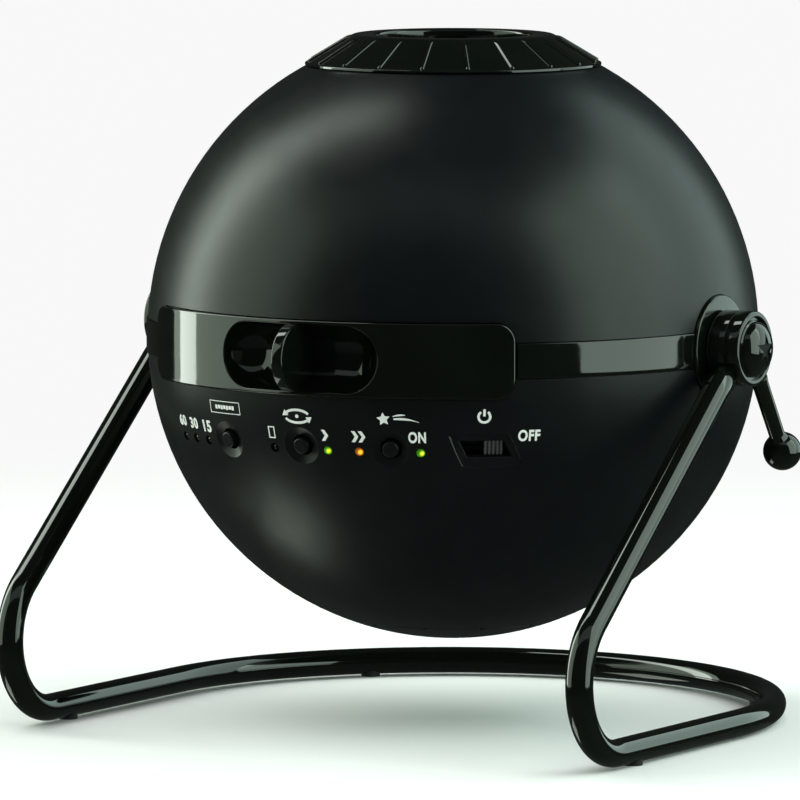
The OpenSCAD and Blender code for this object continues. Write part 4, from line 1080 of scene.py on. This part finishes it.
def leaning_outline(grow_x, grow_top, grow_bottom, parts=8):
    """The slot's leaning outline, grown sideways, upwards and downwards, as points along its four sides."""
    top, low, half = SLOT_H / 2 + grow_top, -SLOT_H / 2 - grow_bottom, SLOT_L / 2 + grow_x
    corners = [Vector((x - SLOT_LEAN / SLOT_H * y, y))
               for x, y in ((-half, top), (half, top), (half, low), (-half, low))]
    points = []
    for start, end in zip(corners, corners[1:] + corners[:1]):
        points += [start.lerp(end, k / parts) for k in range(parts)]
    return points


def make_switch_surround():
    """A shallow frame that runs down from the shell to the slot on all four sides."""
    place = on_ball(SWITCH_AZ, CONTROL_LAT)
    wide, lip, slim = (leaning_outline(*grow) for grow in ((3.0, 2.4, 3.4), (0.18,) * 3, (0.1,) * 3))
    rings = []
    for outline, depth in ((slim, 1.4), (slim, SURROUND_DEPTH + 0.08), (lip, SURROUND_DEPTH),
                           (wide, 0.02), (wide, 1.2)):
        heights = [math.sqrt((BALL_R / MM - depth) ** 2 - p.length_squared) for p in outline]
        rings.append([place(p.x, p.y, height) for p, height in zip(outline, heights)])
    declare(object_of("switch_surround", form_through(rings, closed=True), 12), "ball", "satin_black")


def rib_row(start, end, count, low, high, round_r):
    """A line of (x, height) over a row of rounded ribs."""
    pitch = (end - start) / (count - 0.4)
    line = []
    for k in range(count):
        x = start + k * pitch
        line += [(x, low), (x, high, round_r), (x + 0.6 * pitch, high, round_r), (x + 0.6 * pitch, low)]
    return line


def make_knob():
    """The sliding knob with its finger ribs."""
    place = on_ball(SWITCH_AZ, CONTROL_LAT)
    half = SLOT_H / 2 - 0.25
    start, end = KNOB_AT - KNOB_L / 2, KNOB_AT + KNOB_L / 2
    ribs = rib_row(start, end, KNOB_RIBS, KNOB_TOP - 0.55, KNOB_TOP, 0.16)
    profile = rounded([(start, KNOB_ROOT)] + ribs + [(end, KNOB_ROOT)], 3, closed=True)
    knob = form_through([[place(x, y, z) for x, z in profile] for y in (-half, half)])
    declare(object_of("switch_knob", knob, 30), "power", "satin_black", ["power_knob"], MATERIALS["knob"])


# ---- printed signs ----
PRINT_LIFT = 0.03
LETTER_WEIGHT = 0.036
LETTER_SPACING = 1.1


def flat_text(text, height, squeeze):
    """Text as a flat outline whose middle is at the origin, with its height in mm."""
    curve = bpy.data.curves.new("letters", "FONT")
    curve.body = text
    curve.align_x = "CENTER"
    curve.size = 1
    curve.offset = LETTER_WEIGHT
    curve.space_character = LETTER_SPACING
    curve.resolution_u = 4
    obj = applied(new_object("letters", curve))
    tops = [v.co.y for v in obj.data.vertices]
    low, high = min(tops), max(tops)
    scale = height / (high - low)
    for v in obj.data.vertices:
        v.co = Vector((v.co.x * scale * squeeze, (v.co.y - (low + high) / 2) * scale, 0))
    return obj


def flat_loops(loops):
    """Closed outlines in mm as a filled flat mesh; a loop inside another is a hole."""
    curve = bpy.data.curves.new("sign", "CURVE")
    curve.dimensions = "2D"
    curve.fill_mode = "BOTH"
    for loop in loops:
        spline = curve.splines.new("POLY")
        spline.points.add(len(loop) - 1)
        for point, (x, y) in zip(spline.points, loop):
            point.co = (x, y, 0, 1)
        spline.use_cyclic_u = True
    return applied(new_object("sign", curve))


def box_loop(x0, y0, x1, y1):
    """A rectangle between two corners."""
    return [(x0, y0), (x1, y0), (x1, y1), (x0, y1)]


def frame_loops(x, y, line):
    """A hollow box of these half sizes, drawn with a line of this width."""
    return [box_loop(-x, -y, x, y), box_loop(line - x, line - y, x - line, y - line)]


def stroke(points, widths):
    """A closed outline round a line of points, with its own width at each point."""
    left, right = [], []
    for k, point in enumerate(points):
        here = Vector(point)
        ahead = Vector(points[min(k + 1, len(points) - 1)]) - Vector(points[max(k - 1, 0)])
        aside = Vector((-ahead.y, ahead.x)).normalized() * widths[k] / 2
        left.append(tuple(here + aside))
        right.append(tuple(here - aside))
    return left + list(reversed(right))


def print_on_ball(flat, azimuth, latitude):
    """Lays a flat mesh on the ball as a thin printed layer."""
    bm = bmesh.new()
    bm.from_mesh(flat.data)
    bpy.data.objects.remove(flat)
    bmesh.ops.remove_doubles(bm, verts=bm.verts, dist=1e-5)
    bmesh.ops.recalc_face_normals(bm, faces=bm.faces)
    long_edges = [e for e in bm.edges if e.calc_length() > 0.8]
    bmesh.ops.subdivide_edges(bm, edges=long_edges, cuts=3)
    bmesh.ops.triangulate(bm, faces=bm.faces)
    right, up, out = ball_axes(azimuth, latitude)
    base = BALL_R / MM
    for v in bm.verts:
        spot = (out * base + right * v.co.x + up * v.co.y).normalized() * (base + PRINT_LIFT)
        v.co = PIVOT + spot * MM
    walls = bmesh.ops.extrude_face_region(bm, geom=bm.faces[:])
    for v in [g for g in walls["geom"] if isinstance(g, bmesh.types.BMVert)]:
        v.co = PIVOT + (v.co - PIVOT).normalized() * (base - PRINT_LIFT) * MM
    bmesh.ops.recalc_face_normals(bm, faces=bm.faces)
    mesh = bpy.data.meshes.new("print")
    bm.to_mesh(mesh)
    bm.free()
    return mesh


def sign_piece(name, prints):
    """One piece from several printed meshes."""
    bm = bmesh.new()
    for mesh in prints:
        bm.from_mesh(mesh)
        bpy.data.meshes.remove(mesh)
    declare(object_of(name, bm), "ball", "white_board", material=MATERIALS["print"])


def chevrons(count):
    """Pointed arrows side by side."""
    arrow = [(-0.85, 1.4), (0.05, 1.4), (0.95, 0), (0.05, -1.4), (-0.85, -1.4), (0.05, 0)]
    places = [1.75 * (k - (count - 1) / 2) for k in range(count)]
    return [[(place + x, y) for x, y in arrow] for place in places]


def turning_arrows():
    """Two bent arrows that chase each other round a dot."""
    loops = [[tuple(p) for p in arc(0.45, (0, 0), 0, 360, 32)[:-1]]]
    for turn in (0, 180):
        bow = [(x * 2.1, y * 0.98) for x, y in arc(1.62, (0, 0), 22 + turn, 150 + turn, 14)]
        loops.append(stroke(bow, [0.62] * len(bow)))
        tip = Vector(bow[-1])
        ahead = (tip - Vector(bow[-2])).normalized()
        aside = Vector((-ahead.y, ahead.x))
        foot = tip - ahead * 0.1
        loops.append([tuple(foot + aside * 0.85), tuple(tip + ahead * 1.35), tuple(foot - aside * 0.85)])
    return loops


def falling_star():
    """A star with two curved streaks behind it."""
    star = [(x - 2.7, y + 0.15) for x, y in star_outline(1.7, 0.5, 96)]
    shares = [k / 12 for k in range(13)]
    upper = [(-0.45 + 3.1 * t, 0.62 + 0.62 * math.sin(math.pi * (0.12 + 0.5 * t))) for t in shares]
    lower = [(-0.2 + 6.1 * t, -0.3 + 0.85 * math.sin(math.pi * (0.2 + 0.6 * t)) - 0.75 * t) for t in shares]
    upper_w = [0.14 + 0.26 * math.sin(math.pi * t) for t in shares]
    lower_w = [0.14 + 0.42 * math.sin(math.pi * min(1, t + 1 / 6)) for t in shares]
    return [star, stroke(upper, upper_w), stroke(lower, lower_w)]


def power_sign():
    """A ring open at the top, with a bar in the opening."""
    ring = arc(1.4, (0, 0), 125, 415, 30)
    return [stroke(ring, [0.6] * len(ring)), box_loop(-0.3, 0.1, 0.3, 1.85)]


def timer_sign():
    """A wide framed bar with a row of short steps."""
    steps = [box_loop(-3.4 + k, -0.5 + 0.12 * (k % 2), -2.62 + k, 0.5) for k in range(7)]
    return frame_loops(5.4, 1.55, 0.18) + steps


def hollow_mark():
    """A small hollow upright mark over the left lamp of the rotation button."""
    return frame_loops(0.95, 1.5, 0.29)


def make_signs():
    letters = [("60", 2.8, 0.98, -33.8, -14.1), ("30", 2.8, 0.98, -29.3, -14.3),
               ("15", 3.0, 0.98, -24.7, -14.5), ("ON", 2.85, 0.72, 23.5, -14.2),
               ("OFF", 2.9, 0.78, 44.6, -13.9)]
    sign_piece("numbers_and_words", [print_on_ball(flat_text(*text), az, lat) for *text, az, lat in letters])
    marks = [(timer_sign(), -17.9, -10.4), (turning_arrows(), -0.2, -10.9), (falling_star(), 19.3, -10.9),
             (power_sign(), 36.0, -10.2), (chevrons(1), 5.3, -14.3), (chevrons(2), 12.1, -14.3),
             (hollow_mark(), -6.4, -14.3)]
    sign_piece("symbols", [print_on_ball(flat_loops(loops), az, lat) for loops, az, lat in marks])


make_camera()
make_world()
make_lights()
make_floor()
dress_frame()
make_stand_tube()
make_hubs()
make_lever()
make_belts()
make_tray_plate()
make_fin()
make_pocket_corners()
make_focus_ring()
make_ribs()
make_buttons()
make_lamps()
make_switch_surround()
make_knob()
make_signs()
bpy.context.scene.view_settings.view_transform = "Standard"
